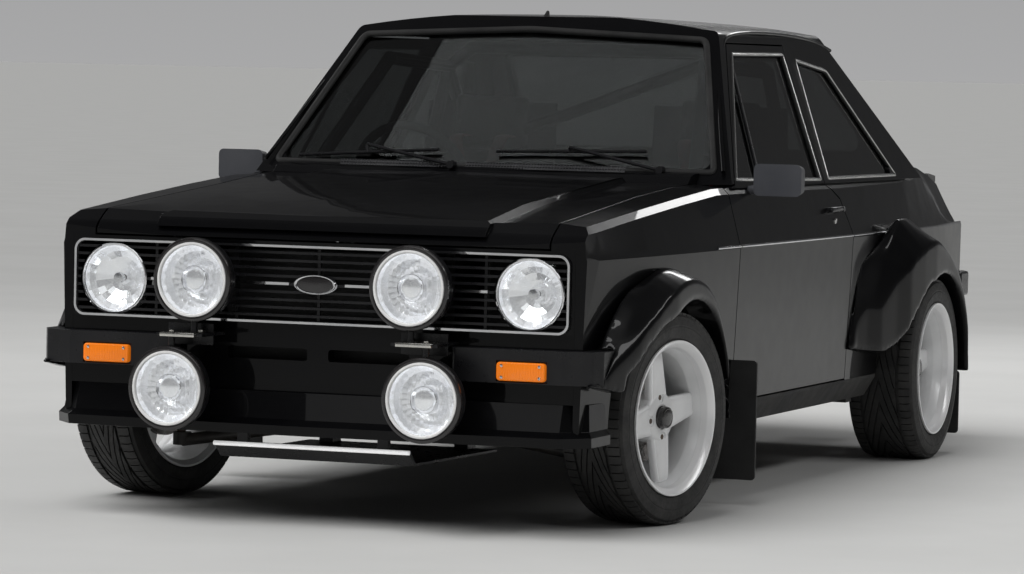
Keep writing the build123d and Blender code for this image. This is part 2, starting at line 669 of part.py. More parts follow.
# Front panel round the grille, with its valance and cooling slots
with BuildPart() as front_panel:
    add(body)
    add(box((-PANEL_HALF + SEAT_GAP, -700, SPOILER_TOP_Z), (PANEL_HALF - SEAT_GAP, -500, NOSE_TOP_Z)), mode=Mode.INTERSECT)
    add(body_hollow, mode=Mode.SUBTRACT)
    with BuildSketch(Plane.XZ.offset(700)):
        with Locations((0, (GRILLE_LOW_Z + GRILLE_HIGH_Z) / 2)):
            RectangleRounded(2 * GRILLE_HALF, GRILLE_HIGH_Z - GRILLE_LOW_Z, GRILLE_CORNER)
        with Locations((-SLOT_MIDDLE_X, SLOT_MIDDLE_Z), (SLOT_MIDDLE_X, SLOT_MIDDLE_Z)):
            RectangleRounded(SLOT_WIDTH, SLOT_HEIGHT, 8)
    extrude(amount=-400, mode=Mode.SUBTRACT)
save(front_panel, "front_panel")

# Grille: level bars held by upright ribs, open for the headlamps
with BuildPart() as grille:
    with BuildSketch(Plane.XZ.offset(-GRILLE_Y)):
        with Locations((0, (GRILLE_LOW_Z + GRILLE_HIGH_Z) / 2)):
            RectangleRounded(2 * GRILLE_HALF - 2 * SEAT_GAP, GRILLE_HIGH_Z - GRILLE_LOW_Z - 2 * SEAT_GAP, GRILLE_CORNER)
            RectangleRounded(2 * GRILLE_HALF - 16, GRILLE_HIGH_Z - GRILLE_LOW_Z - 16, GRILLE_CORNER - 6,
                             mode=Mode.SUBTRACT)
        for number in range(GRILLE_BARS):
            with Locations((0, GRILLE_LOW_Z + GRILLE_PITCH * (number + 1))):
                Rectangle(2 * GRILLE_HALF - 10, GRILLE_BAR)
    extrude(amount=-GRILLE_DEPTH)
    with BuildSketch(Plane.XZ.offset(-GRILLE_Y - GRILLE_DEPTH / 2)):
        for x in (-470, -235, 0, 235, 470):
            with Locations((x, (GRILLE_LOW_Z + GRILLE_HIGH_Z) / 2)):
                Rectangle(8, GRILLE_HIGH_Z - GRILLE_LOW_Z - 4)
    extrude(amount=-GRILLE_DEPTH / 2)
    with BuildSketch(Plane.XZ.offset(700)):
        with Locations((-HEADLAMP_X, HEADLAMP_Z), (HEADLAMP_X, HEADLAMP_Z)):
            Circle(HEADLAMP_RADIUS + SEAT_GAP)
    extrude(amount=-400, mode=Mode.SUBTRACT)
save(grille, "grille")

# Bright frame of the grille, its middle bar and the bare oval on it
with BuildPart() as grille_trim:
    with BuildSketch(Plane.XZ.offset(-GRILLE_Y + SEAT_GAP)):
        with Locations((0, (GRILLE_LOW_Z + GRILLE_HIGH_Z) / 2)):
            RectangleRounded(2 * GRILLE_HALF - 1, GRILLE_HIGH_Z - GRILLE_LOW_Z - 1, GRILLE_CORNER)
            RectangleRounded(2 * GRILLE_HALF - 13, GRILLE_HIGH_Z - GRILLE_LOW_Z - 13, GRILLE_CORNER - 5,
                             mode=Mode.SUBTRACT)
    extrude(amount=8)
    with BuildSketch(Plane.XZ.offset(-GRILLE_Y + SEAT_GAP)):
        for low_x, high_x in ((-480, -80), (80, 480)):
            with Locations(((low_x + high_x) / 2, BADGE_Z)):
                Rectangle(high_x - low_x, 7)
    extrude(amount=6)
    with BuildSketch(Plane.XZ.offset(-GRILLE_Y + SEAT_GAP)):
        with Locations((0, BADGE_Z)):
            Ellipse(BADGE_HALF, BADGE_HALF * 0.42)
    extrude(amount=10)
save(grille_trim, "grille_trim")

# Headlamps and driving lamps: bowls, then their glasses
aim = Rotation(90, 0, 0)
with BuildPart() as headlamps:
    for x in (-HEADLAMP_X, HEADLAMP_X):
        with Locations(Location((x, HEADLAMP_Y, HEADLAMP_Z)) * aim):
            add(lamp_shell(HEADLAMP_RADIUS, 80))
save(headlamps, "headlamps")
with BuildPart() as driving_lamps:
    for x, y, z in DRIVING_LAMPS:
        with Locations(Location((x, y, z)) * aim, Location((-x, y, z)) * aim):
            add(lamp_shell(DRIVING_LAMP_RADIUS, 92))
save(driving_lamps, "driving_lamps")
with BuildPart() as lamp_glasses:
    with Locations(*[Location((x, HEADLAMP_Y, HEADLAMP_Z)) * aim for x in (-HEADLAMP_X, HEADLAMP_X)]):
        add(lamp_glass(HEADLAMP_RADIUS - LAMP_RIM))
    for x, y, z in DRIVING_LAMPS:
        with Locations(Location((x, y, z)) * aim, Location((-x, y, z)) * aim):
            add(lamp_glass(DRIVING_LAMP_RADIUS - LAMP_RIM))
save(lamp_glasses, "lamp_glasses")

# Boot lid with its lip spoiler
with BuildPart() as boot_lid:
    add(body)
    add(plan_block(((-BOOT_HALF, BOOT_FRONT_Y), (BOOT_HALF, BOOT_FRONT_Y), (BOOT_HALF, TAIL_Y + 50),
                    (-BOOT_HALF, TAIL_Y + 50)), BOOT_LIP_Z + BODY_GAP, 1000), mode=Mode.INTERSECT)
    add(body_form(LID_THICKNESS), mode=Mode.SUBTRACT)
    with BuildSketch(Plane.YZ):
        with BuildLine():
            Polyline((TAIL_TOP_Y - 92, 880), (TAIL_TOP_Y - 60, 893), (TAIL_TOP_Y + 22, LIP_TOP_Z), (TAIL_TOP_Y + 26, 866),
                     (TAIL_TOP_Y - 10, 846), (TAIL_TOP_Y - 40, 860), close=True)
        make_face()
    extrude(amount=BOOT_HALF - 4, both=True)
save(boot_lid, "boot_lid")

# Tail panel and the lamps in it
with BuildPart() as tail_panel:
    add(body)
    add(box((-TAIL_PANEL_HALF + SEAT_GAP, 3080 + SEAT_GAP, 330), (TAIL_PANEL_HALF - SEAT_GAP, 3400, BOOT_LIP_Z - SEAT_GAP)),
        mode=Mode.INTERSECT)
    add(body_form(LID_THICKNESS), mode=Mode.SUBTRACT)
    for x in (-TAIL_LAMP_X, TAIL_LAMP_X):
        add(box((x - TAIL_LAMP_WIDTH / 2, 3000, TAIL_LAMP_Z - TAIL_LAMP_HEIGHT / 2),
                (x + TAIL_LAMP_WIDTH / 2, 3400, TAIL_LAMP_Z + TAIL_LAMP_HEIGHT / 2)), mode=Mode.SUBTRACT)
    add(both_sides(box((BOOT_BUFFER_X - BUFFER_HALF, TAIL_Y - 73, BOOT_LIP_Z - BODY_GAP),
                       (BOOT_BUFFER_X + BUFFER_HALF, TAIL_Y - 73 + BUFFER_WIDTH, BOOT_LIP_Z + BODY_GAP - SEAT_GAP))))
save(tail_panel, "tail_panel")
with BuildPart() as tail_lamps:
    add(body.moved(Location((0, 9, 0))))
    lamp_boxes = [
        box((x - TAIL_LAMP_WIDTH / 2 + SEAT_GAP, 3150, TAIL_LAMP_Z - TAIL_LAMP_HEIGHT / 2 + SEAT_GAP),
            (x + TAIL_LAMP_WIDTH / 2 - SEAT_GAP, 3400, TAIL_LAMP_Z + TAIL_LAMP_HEIGHT / 2 - SEAT_GAP))
        for x in (-TAIL_LAMP_X, TAIL_LAMP_X)
    ]
    add(lamp_boxes, mode=Mode.INTERSECT)
save(tail_lamps, "tail_lamps")

# Quarter bumpers at the four corners, with the indicators in the front pair
with BuildPart() as front_bumpers:
    left = plan_block(((395, -560), (395, -613), (700, -613), (778, -592), (797, -560), (797, -470), (700, -470)),
                      BUMPER_LOW_Z, BUMPER_HIGH_Z, 12)
    add(both_sides(left))
    add(body, mode=Mode.SUBTRACT)
    for x in (-INDICATOR_X, INDICATOR_X):
        add(box((x - INDICATOR_HALF, -700, INDICATOR_Z - 27), (x + INDICATOR_HALF, -596, INDICATOR_Z + 27)), mode=Mode.SUBTRACT)
save(front_bumpers, "front_bumpers")
with BuildPart() as indicators:
    for x in (-INDICATOR_X, INDICATOR_X):
        add(box((x - INDICATOR_HALF + SEAT_GAP, -616, INDICATOR_Z - 27 + SEAT_GAP),
                (x + INDICATOR_HALF - SEAT_GAP, -596, INDICATOR_Z + 27 - SEAT_GAP)))
save(indicators, "indicators")
with BuildPart() as rear_bumpers:
    left = plan_block(((420, 3200), (420, 3305), (640, 3300), (722, 3276), (744, 3240), (752, 3120), (640, 3120)),
                      REAR_BUMPER_LOW_Z, REAR_BUMPER_HIGH_Z, 12)
    add(both_sides(left))
    add(body, mode=Mode.SUBTRACT)
save(rear_bumpers, "rear_bumpers")

# Flared arches over the front and rear wheels
with BuildPart() as front_arches:
    add(both_sides(flare(FRONT_FLARE, 0, FLARE_X["front"], FRONT_FLARE_FEET, ARCH_OPENING_RADIUS,
                         FRONT_LEAD, FRONT_DRAW)))
    add(front_bumpers.part, mode=Mode.SUBTRACT)
save(front_arches, "front_arches")
with BuildPart() as rear_arches:
    add(both_sides(flare(REAR_FLARE, WHEELBASE, FLARE_X["rear"], REAR_FLARE_FEET, REAR_ARCH_OPENING_RADIUS,
                         REAR_LEAD, REAR_DRAW)))
save(rear_arches, "rear_arches")

# Air dam under the nose, with its forward lip. Each row gives a height, the side's inset and the ys of its corner,
# of its front edge beside the panel and of its middle
DAM_ROWS = (
    (SPOILER_LOW_Z, 0, 62, -545, -612, -640), (SPOILER_LOW_Z + 26, 0, 62, -548, -618, -646),
    (SPOILER_LOW_Z + 40, 10, 72, -535, -592, -612), (SPOILER_TOP_Z - SEAT_GAP, 18, 72, -520, -568, -590),
)
with BuildPart() as front_spoiler:
    for z, side_inset, front_inset, corner_y, front_y, middle_y in DAM_ROWS:
        side, front = SPOILER_HALF - side_inset, SPOILER_HALF - front_inset
        with BuildSketch(Plane.XY.offset(z)):
            with BuildLine():
                Polyline((-side, -400), (-side, corner_y), (-front, front_y), (0, middle_y), (front, front_y),
                         (side, corner_y), (side, -400), close=True)
            make_face()
    loft(ruled=True)
    add(box((58 - SPOILER_HALF, -545, 0), (SPOILER_HALF - 58, 0, 500)), mode=Mode.SUBTRACT)
    add(front_wings.part, mode=Mode.SUBTRACT)
save(front_spoiler, "front_spoiler")

# Wheels. The front pair stands turned to the car's right about the leaning kingpins.
lean_sin, lean_cos = sin(radians(KINGPIN_LEAN)), cos(radians(KINGPIN_LEAN))
drop = lean_sin * lean_cos * (1 - cos(radians(STEER_REST)))
front_hub_z = TYRE_RADIUS + drop * (FRONT_WHEEL[0] - KINGPIN_X + FRONT_WHEEL[1] / 2 - 26)
kingpins = {
    "left": Axis((KINGPIN_X, 0, front_hub_z), (-lean_sin, 0, lean_cos)),
    "right": Axis((-KINGPIN_X, 0, front_hub_z), (lean_sin, 0, lean_cos)),
}


def at_wheel(piece, wheel, side, front):
    """A piece modelled about Z, outer side up, moved to one of the four wheels."""
    turn = 90 if side == "left" else -90
    x = wheel[0] if side == "left" else -wheel[0]
    y, z = (0, front_hub_z) if front else (WHEELBASE, TYRE_RADIUS)
    placed = Location((x, y, z)) * Rotation(0, turn, 0) * piece
    return placed.rotate(kingpins[side], -STEER_REST) if front else placed


for end, wheel in (("front", FRONT_WHEEL), ("rear", REAR_WHEEL)):
    tyre_piece = tyre_form(wheel[1])
    rim_piece = rim_form(wheel[1], wheel[2])
    for side in ("left", "right"):
        with BuildPart() as tyre:
            add(at_wheel(tyre_piece, wheel, side, end == "front"))
        save(tyre, f"tyre_{end}_{side}")
        with BuildPart() as rim:
            add(at_wheel(rim_piece, wheel, side, end == "front"))
        save(rim, f"wheel_{end}_{side}")

# Uprights: strut and stub axle in one, turning about the kingpin
disc_back_z = FRONT_WHEEL[1] / 2 - FRONT_WHEEL[2] - HUB_DEPTH - DISC_THICKNESS
pivot_bores = []
for side in ("left", "right"):
    sign = 1 if side == "left" else -1
    with BuildPart(mode=Mode.PRIVATE) as carrier:
        with BuildSketch(Plane.XY.offset(KINGPIN_X - FRONT_WHEEL[0])):
            Circle(52)
        extrude(amount=disc_back_z - BODY_GAP - KINGPIN_X + FRONT_WHEEL[0])
        with BuildSketch(Plane.XY.offset(disc_back_z - BODY_GAP)):
            Circle(STUB_RADIUS)
        extrude(amount=BODY_GAP + DISC_THICKNESS + STUB_LENGTH - 4)
    knuckle = at_wheel(carrier.part, FRONT_WHEEL, side, True)
    top = Vector(sign * KINGPIN_X, 0, front_hub_z) + kingpins[side].direction * ((STRUT_TOP_Z - front_hub_z) / lean_cos)
    foot = Vector(sign * KINGPIN_X, 0, front_hub_z) - kingpins[side].direction * ((front_hub_z - BALL_JOINT_Z) / lean_cos)
    with BuildPart() as upright:
        add(knuckle)
        add(rod(foot, top, STRUT_RADIUS))
        add(rod(foot - kingpins[side].direction * 40, top + kingpins[side].direction * 32, PIVOT_RADIUS))
    save(upright, f"upright_{side}")
    pivot_bores.append(
        rod(foot - kingpins[side].direction * 80, top + kingpins[side].direction * 80, PIVOT_RADIUS + RUNNING_GAP)
    )

# Crossmember with the lower arms, which end under the uprights, and the engine's two mounts
with BuildPart() as front_crossmember:
    add(box((-RAIL_INNER_X - 90, -50, 196), (RAIL_INNER_X + 90, 60, RAIL_LOW_Z - SEAT_GAP)))
    for sign in (-1, 1):
        arm_x = KINGPIN_X + (front_hub_z - BALL_JOINT_Z) * tan(radians(KINGPIN_LEAN))
        add(rod((sign * 300, 0, 210), (sign * arm_x, 0, BALL_JOINT_Z - 36), 17))
        add(Pos(sign * arm_x, 0, BALL_JOINT_Z - 30) * Cylinder(26, 36, mode=Mode.PRIVATE))
        low_x, high_x = sorted((sign * 160, sign * 220))
        add(box((low_x, -40, 240), (high_x, 60, ENGINE_LOW_Z - SEAT_GAP)))
    add(pivot_bores, mode=Mode.SUBTRACT)
save(front_crossmember, "front_crossmember")

# Live rear axle with its middle housing and the shaft that drives it
with BuildPart() as rear_axle:
    axle_end = REAR_WHEEL[0] + REAR_WHEEL[1] / 2 - REAR_WHEEL[2] - HUB_DEPTH - DISC_THICKNESS - BODY_GAP
    stub_end = axle_end + BODY_GAP + DISC_THICKNESS + STUB_LENGTH - 4
    add(rod((-axle_end, WHEELBASE, TYRE_RADIUS), (axle_end, WHEELBASE, TYRE_RADIUS), 36))
    add(rod((-stub_end, WHEELBASE, TYRE_RADIUS), (stub_end, WHEELBASE, TYRE_RADIUS), STUB_RADIUS))
    add(rod((-70, WHEELBASE, TYRE_RADIUS), (70, WHEELBASE, TYRE_RADIUS), 108))
    add(rod((0, WHEELBASE - 190, TYRE_RADIUS), (0, WHEELBASE, TYRE_RADIUS), 60))
    add(rod((0, 902, 262), (0, WHEELBASE - 180, TYRE_RADIUS), 28))
save(rear_axle, "rear_axle")

# Leaf springs under the axle, their eyes on hangers below the floor
with BuildPart() as leaf_springs:
    for x in (-SPRING_X, SPRING_X):
        with BuildSketch(Plane.YZ.offset(x - 25)):
            with BuildLine():
                high = ThreePointArc((STEP_Y + 50, 330), (WHEELBASE, TYRE_RADIUS - 36 - SEAT_GAP), (WHEELBASE + 600, 350))
                low = ThreePointArc((WHEELBASE + 600, 336), (WHEELBASE, TYRE_RADIUS - 58), (STEP_Y + 50, 316))
                Line(high @ 1, low @ 0)
                Line(low @ 1, high @ 0)
            make_face()
        extrude(amount=50)
        for y in (STEP_Y + 50, WHEELBASE + 565):
            add(box((x - 20, y, 324), (x + 20, y + 34, AXLE_FLOOR_Z - 16 - SEAT_GAP)))
save(leaf_springs, "leaf_springs")

# Floor with its sills, tunnel, bulkheads, rear wheel tubs and the shelf behind the cabin
with BuildPart() as floor_pan:
    add(body)
    add(box((-900, SILL_FRONT_Y, 0), (900, SILL_REAR_Y, SEAM_Z - SEAT_GAP)), mode=Mode.INTERSECT)
    add(box((-690, 0, SILL_Z + FLOOR_THICKNESS), (690, 3000, 400)), mode=Mode.SUBTRACT)
    add(box((-690, 0, 0), (690, 566, 400)), mode=Mode.SUBTRACT)
    for space in both_sides(wheel_cut(WHEELBASE, REAR_WHEELHOUSE_RADIUS, 400)):
        add(space, mode=Mode.SUBTRACT)
    add(rod((0, 566, SILL_Z + 10), (0, STEP_Y, SILL_Z + 10), TUNNEL_RADIUS + TUNNEL_WALL))
    add(box((-700, 566, SILL_Z), (700, 584, BELT_Z - 44)))
    add(box((-TUB_INNER_X, STEP_Y, SILL_Z), (TUB_INNER_X, STEP_Y + 18, AXLE_FLOOR_Z)))
    add(box((-300, 0, 0), (300, 3000, SILL_Z)), mode=Mode.SUBTRACT)
    add(rod((0, 560, SILL_Z + 10), (0, STEP_Y + 40, SILL_Z + 10), TUNNEL_RADIUS), mode=Mode.SUBTRACT)
    add(box((-TUB_INNER_X, STEP_Y + 18, 0), (TUB_INNER_X, SILL_REAR_Y + 100, AXLE_FLOOR_Z - 16)), mode=Mode.SUBTRACT)
    with BuildPart(mode=Mode.PRIVATE) as rear_floor:
        add(box((-TUB_INNER_X - 120, STEP_Y, AXLE_FLOOR_Z - 16), (TUB_INNER_X + 120, 3110, AXLE_FLOOR_Z)))
        for side_x in (TUB_INNER_X, -TUB_INNER_X - 120):
            add(rod((side_x, WHEELBASE, TYRE_RADIUS), (side_x + 120, WHEELBASE, TYRE_RADIUS),
                    REAR_WHEELHOUSE_RADIUS + TUB_WALL))
        add(box((-900, STEP_Y, AXLE_FLOOR_Z - 16), (900, 3110, 700)), mode=Mode.INTERSECT)
        for space in both_sides(wheel_cut(WHEELBASE, REAR_WHEELHOUSE_RADIUS, TUB_INNER_X + TUB_WALL)):
            add(space, mode=Mode.SUBTRACT)
        add(body_form(QUARTER_THICKNESS + SEAT_GAP), mode=Mode.INTERSECT)
    add(rear_floor.part)
    add(box((-TUB_INNER_X + 10, SHELF_Y, AXLE_FLOOR_Z - 1), (TUB_INNER_X - 10, SHELF_Y + 12, SHELF_Z + 12)))
    add(box((-TUB_INNER_X - 50, SHELF_Y, SHELF_Z), (TUB_INNER_X + 50, 2555, SHELF_Z + 12)))
    for y in JACK_YS:
        add(both_sides(box((JACK_X - JACK_PAD / 2, y - JACK_PAD / 2, SILL_Z - JACK_DROP),
                           (JACK_X + JACK_PAD / 2, y + JACK_PAD / 2, SILL_Z))))
save(floor_pan, "floor_pan")

# Inner wings with the strut tops, on the two rails that carry the crossmember
with BuildPart() as inner_wings:
    for sign in (-1, 1):
        for low_x, high_x, low_z, high_z in (
            (ENGINE_BAY_HALF, ENGINE_BAY_HALF + BUFFER_WIDTH, RAIL_LOW_Z, INNER_WING_TOP_Z), (RAIL_INNER_X, ENGINE_BAY_HALF + 8, RAIL_LOW_Z, 300),
        ):
            ends = sorted((sign * low_x, sign * high_x))
            add(box((ends[0], -500, low_z), (ends[1], 566 - SEAT_GAP, high_z)))
        add(Pos(sign * 520, 0, TURRET_Z + TURRET_HEIGHT / 2) * Cylinder(80, TURRET_HEIGHT, mode=Mode.PRIVATE))
    add(box((-RAIL_INNER_X - 1, -300, 255), (RAIL_INNER_X + 1, -240, 300)))
    with BuildPart(mode=Mode.PRIVATE) as buffer:
        add(box((ENGINE_BAY_HALF, BONNET_BUFFER_Y - BUFFER_HALF, INNER_WING_TOP_Z - 4),
                (ENGINE_BAY_HALF + BUFFER_WIDTH, BONNET_BUFFER_Y + BUFFER_HALF, INNER_WING_TOP_Z + BONNET_THICKNESS + 12)))
        add(bonnet.part.moved(Location((0, 0, -SEAT_GAP))), mode=Mode.SUBTRACT)
    add(both_sides(buffer.part))
    add(pivot_bores, mode=Mode.SUBTRACT)
save(inner_wings, "inner_wings")

# Engine as one plain block with its gearbox, and the radiator ahead of it
with BuildPart() as engine:
    add(box((-240, -200, ENGINE_LOW_Z), (240, 430, 720)))
    add(rod((0, 420, 262), (0, 900, 262), 76))
save(engine, "engine")
with BuildPart() as radiator:
    add(box((-300, -480, 340), (300, -420, 720)))
    add(box((-ENGINE_BAY_HALF + SEAT_GAP, -474, 350), (ENGINE_BAY_HALF - SEAT_GAP, -440, 380)))
save(radiator, "radiator")

# Exhaust: one pipe with its silencer, hung under the floor
with BuildPart() as exhaust:
    points = [(262 + SEAT_GAP, 40, 430), (PIPE_X, 330, PIPE_Z), (PIPE_X, 3190, PIPE_Z)]
    for start, end in zip(points, points[1:]):
        add(rod(start, end, PIPE_RADIUS))
    add(Pos(*points[1]) * Sphere(PIPE_RADIUS + 1, mode=Mode.PRIVATE))
    add(box((PIPE_X - 95, 1250, 132), (PIPE_X + 95, 1650, 212)))
    for y in (700, 1780):
        add(box((PIPE_X - 8, y, PIPE_Z), (PIPE_X + 8, y + 30, SILL_Z - SEAT_GAP)))
    add(rod((PIPE_X, 3060, PIPE_Z), (PIPE_X, 3190, PIPE_Z), PIPE_RADIUS - 3), mode=Mode.SUBTRACT)
save(exhaust, "exhaust")

# Mud flaps behind the wheels
with BuildPart() as mud_flaps:
    for y, low_x, high_x, low_z, high_z in ((571, 660, 850, 74, 410), (2746, 652, 852, 57, REAR_FLARE_FEET[1] - SEAT_GAP)):
        flap = front_block(((low_x, low_z), (high_x, low_z), (high_x, high_z), (low_x, high_z)), y, y + FLAP_THICKNESS, 12)
        add(both_sides(flap))
    add(body, mode=Mode.SUBTRACT)
save(mud_flaps, "mud_flaps")

# Sump guard, curled up at its front edge
with BuildPart() as sump_guard:
    with BuildSketch(Plane.YZ):
        with BuildLine():
            Polyline((-593, 214), (-593, 202), (-556, 170), (40, 164), (40, 172), (-553, 178), (-585, 206), (-585, 214),
                     close=True)
        make_face()
    extrude(amount=GUARD_HALF, both=True)
    for x in (-200, 200):
        add(box((x - 20, -30, 168), (x + 20, 30, 196 - SEAT_GAP)))
        add(box((x - 15, -592, 210), (x + 15, -572, SPOILER_LOW_Z - SEAT_GAP)))
save(sump_guard, "sump_guard")

# Brackets between the driving lamps
with BuildPart() as lamp_brackets:
    with BuildPart(mode=Mode.PRIVATE) as bracket:
        (high_x, high_y, high_z), (low_x, low_y, low_z) = DRIVING_LAMPS
        add(box((267, -714, 493), (397, -540, 501)))
        add(box((267, -642, 468), (397, -636, 525)))
        add(rod((high_x, high_y + 18, 497), (high_x, high_y + 18, high_z - DRIVING_LAMP_RADIUS - SEAT_GAP), 9))
        add(rod((low_x, low_y + 24, low_z + DRIVING_LAMP_RADIUS + SEAT_GAP), (low_x, low_y + 24, 497), 9))
        add(body, mode=Mode.SUBTRACT)
    add(both_sides(bracket.part))
save(lamp_brackets, "lamp_brackets")


def on_screen(x, z, out):
    """A point of the windscreen's outer face at x and z, moved out by a little."""
    rise = Vector(0, SCREEN_HEAD[0] - SCREEN_FOOT[0], SCREEN_HEAD[1] - SCREEN_FOOT[1]).normalized()
    outwards = Vector(0, -rise.Z, rise.Y)
    bow = SCREEN_BOW * (1 - (x / SCREEN_HALF) ** 2) + out
    step = (z - SCREEN_FOOT[1] - outwards.Z * bow) / rise.Z
    return Vector(x, SCREEN_FOOT[0], SCREEN_FOOT[1]) + rise * step + outwards * bow


# Wipers: pivot, arm and blade. Each row gives the pivot, the arm's end and the blade's two ends as x and z
WIPERS = (
    ((-91, 934), (-380, 985), (-600, 948), (-150, 975)),
    ((528, 934), (250, 992), (30, 975), (470, 985)),
)
with BuildPart() as wipers:
    for pivot, reach, low_end, high_end in WIPERS:
        base = on_screen(*pivot, 16)
        tip = on_screen(*reach, 14)
        add(rod(base, tip, 5))
        add(rod(on_screen(*pivot, 20), on_screen(*pivot, -2), 11))
        middle = ((low_end[0] + high_end[0]) / 2, (low_end[1] + high_end[1]) / 2)
        add(rod(on_screen(*low_end, 3), on_screen(*middle, 3), 5))
        add(rod(on_screen(*middle, 3), on_screen(*high_end, 3), 5))
        add(rod(tip, on_screen(*middle, 3), 5))
    add(cabin, mode=Mode.SUBTRACT)
    add(scuttle.part, mode=Mode.SUBTRACT)
save(wipers, "wipers")

# Door mirrors
with BuildPart() as mirror_left:
    x, y, z = MIRROR
    with BuildSketch(Plane.XZ.offset(-y + 34)):
        with Locations((x, z)):
            RectangleRounded(142, 91, 16)
    with BuildSketch(Plane.XZ.offset(-y - 26)):
        with Locations((x, z)):
            RectangleRounded(126, 78, 14)
    loft(ruled=True)
    add(rod((x - 110, y, z - 34), (x - 20, y, z - 20), 13))
    add(body, mode=Mode.SUBTRACT)
    add(cabin, mode=Mode.SUBTRACT)
save(mirror_left, "mirror_left")
with BuildPart() as mirror_right:
    add(mirror_left.part.mirror(Plane.YZ))
save(mirror_right, "mirror_right")

# Seats: cushion and back in one, with raised sides
with BuildPart() as seats:
    with BuildPart(mode=Mode.PRIVATE) as seat:
        low = SILL_Z + FLOOR_THICKNESS + SEAT_GAP
        cushion = ((1150, low), (1130, 440), (1470, 400), (1520, 690), (1566, 1160), (1612, 1140), (1600, 420), (1560, low))
        sides = ((1180, low), (1160, 490), (1420, 470), (1460, 640), (1500, 950), (1608, 930), (1596, 420), (1556, low))
        add(side_block(cushion, SEAT_X - SEAT_HALF + 60, SEAT_X + SEAT_HALF - 60, 10))
        add(side_block(sides, SEAT_X - SEAT_HALF, SEAT_X - SEAT_HALF + 64, 10))
        add(side_block(sides, SEAT_X + SEAT_HALF - 64, SEAT_X + SEAT_HALF, 10))
    add(both_sides(seat.part))
save(seats, "seats")

# Dashboard with the steering column
column = Vector(0, cos(radians(COLUMN_LEAN)), sin(radians(COLUMN_LEAN)))
steering_centre = Vector(*STEERING_CENTRE)
with BuildPart() as dashboard:
    with BuildSketch(Plane.YZ):
        with BuildLine():
            Polyline((584 + SEAT_GAP, 660), (584 + SEAT_GAP, 845 - SEAT_GAP), (690 + SEAT_GAP, 845 - SEAT_GAP),
                     (690 + SEAT_GAP, 888), (800, 880), (846, 830), (760, 690), close=True)
        make_face()
    extrude(amount=DASH_HALF, both=True)
    add(rod(steering_centre - column * 330, steering_centre - column * (60 + BODY_GAP), 24))
    add(rod(steering_centre - column * 145, steering_centre - column * 60, PIVOT_RADIUS + RUNNING_GAP), mode=Mode.SUBTRACT)
save(dashboard, "dashboard")
with BuildPart() as steering_wheel:
    with BuildPart(mode=Mode.PRIVATE) as wheel_form:
        with BuildSketch(Plane.XZ):
            with Locations((STEERING_RADIUS, 0)):
                Circle(14)
        revolve(axis=Axis.Z)
        with BuildSketch(Plane.XY.offset(-16)):
            with PolarLocations(0, 3, 90):
                with Locations((STEERING_RADIUS / 2, 0)):
                    Rectangle(STEERING_RADIUS, 34)
        extrude(amount=8)
        with BuildSketch(Plane.XY.offset(-60)):
            Circle(30)
        extrude(amount=64)
        with BuildSketch(Plane.XY.offset(-130)):
            Circle(PIVOT_RADIUS)
        extrude(amount=75)
    add(Plane(origin=steering_centre, x_dir=(1, 0, 0), z_dir=column).location * wheel_form.part)
save(steering_wheel, "steering_wheel")

# Roll cage of round tubes. Left half: each row is a run of points
foot_z = SILL_Z + FLOOR_THICKNESS + SEAT_GAP
CAGE_RUNS = (
    ((600, HOOP_Y, foot_z), (600, HOOP_Y, 860), (520, HOOP_Y, 1215), (440, HOOP_Y, 1275)),
    ((520, HOOP_Y, 1215), (500, 1110, 1236), (588, 770, 915), (600, 690, 700), (600, 690, foot_z)),
    ((520, HOOP_Y, 1215), (500, 2235, AXLE_FLOOR_Z + SEAT_GAP)),
)
with BuildPart() as roll_cage:
    for mirror in (1, -1):
        for run in CAGE_RUNS:
            points = [(mirror * x, y, z) for x, y, z in run]
            for start, end in zip(points, points[1:]):
                add(rod(start, end, CAGE_RADIUS))
            for point in points[1:-1]:
                add(Pos(*point) * Sphere(CAGE_RADIUS + 1, mode=Mode.PRIVATE))
        add(Pos(mirror * 440, HOOP_Y, 1275) * Sphere(CAGE_RADIUS + 1, mode=Mode.PRIVATE))
    add(rod((-440, HOOP_Y, 1275), (440, HOOP_Y, 1275), CAGE_RADIUS))
    add(rod((-600, HOOP_Y, 900), (600, HOOP_Y, 900), CAGE_RADIUS))
    add(rod((-600, HOOP_Y, 900), (420, HOOP_Y, 1272), CAGE_RADIUS))
    add(box((-900, 500, 0), (900, 3000, foot_z)), mode=Mode.SUBTRACT)
    add(box((-900, STEP_Y, 0), (900, 3000, AXLE_FLOOR_Z + SEAT_GAP)), mode=Mode.SUBTRACT)
save(roll_cage, "roll_cage")
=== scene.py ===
"""The looks of the rally car: finishes, wheels, lamps, bright trim, cabin, and the studio that it stands in.

Lengths are written in millimetres from the middle of the front axle at ground level, as in the part's
source: x to the car's left, y rearwards, z up. place() turns them into the frame's metres."""

import json
from math import atan2, cos, hypot, pi, radians, sin

import bpy
from mathutils import Matrix, Vector

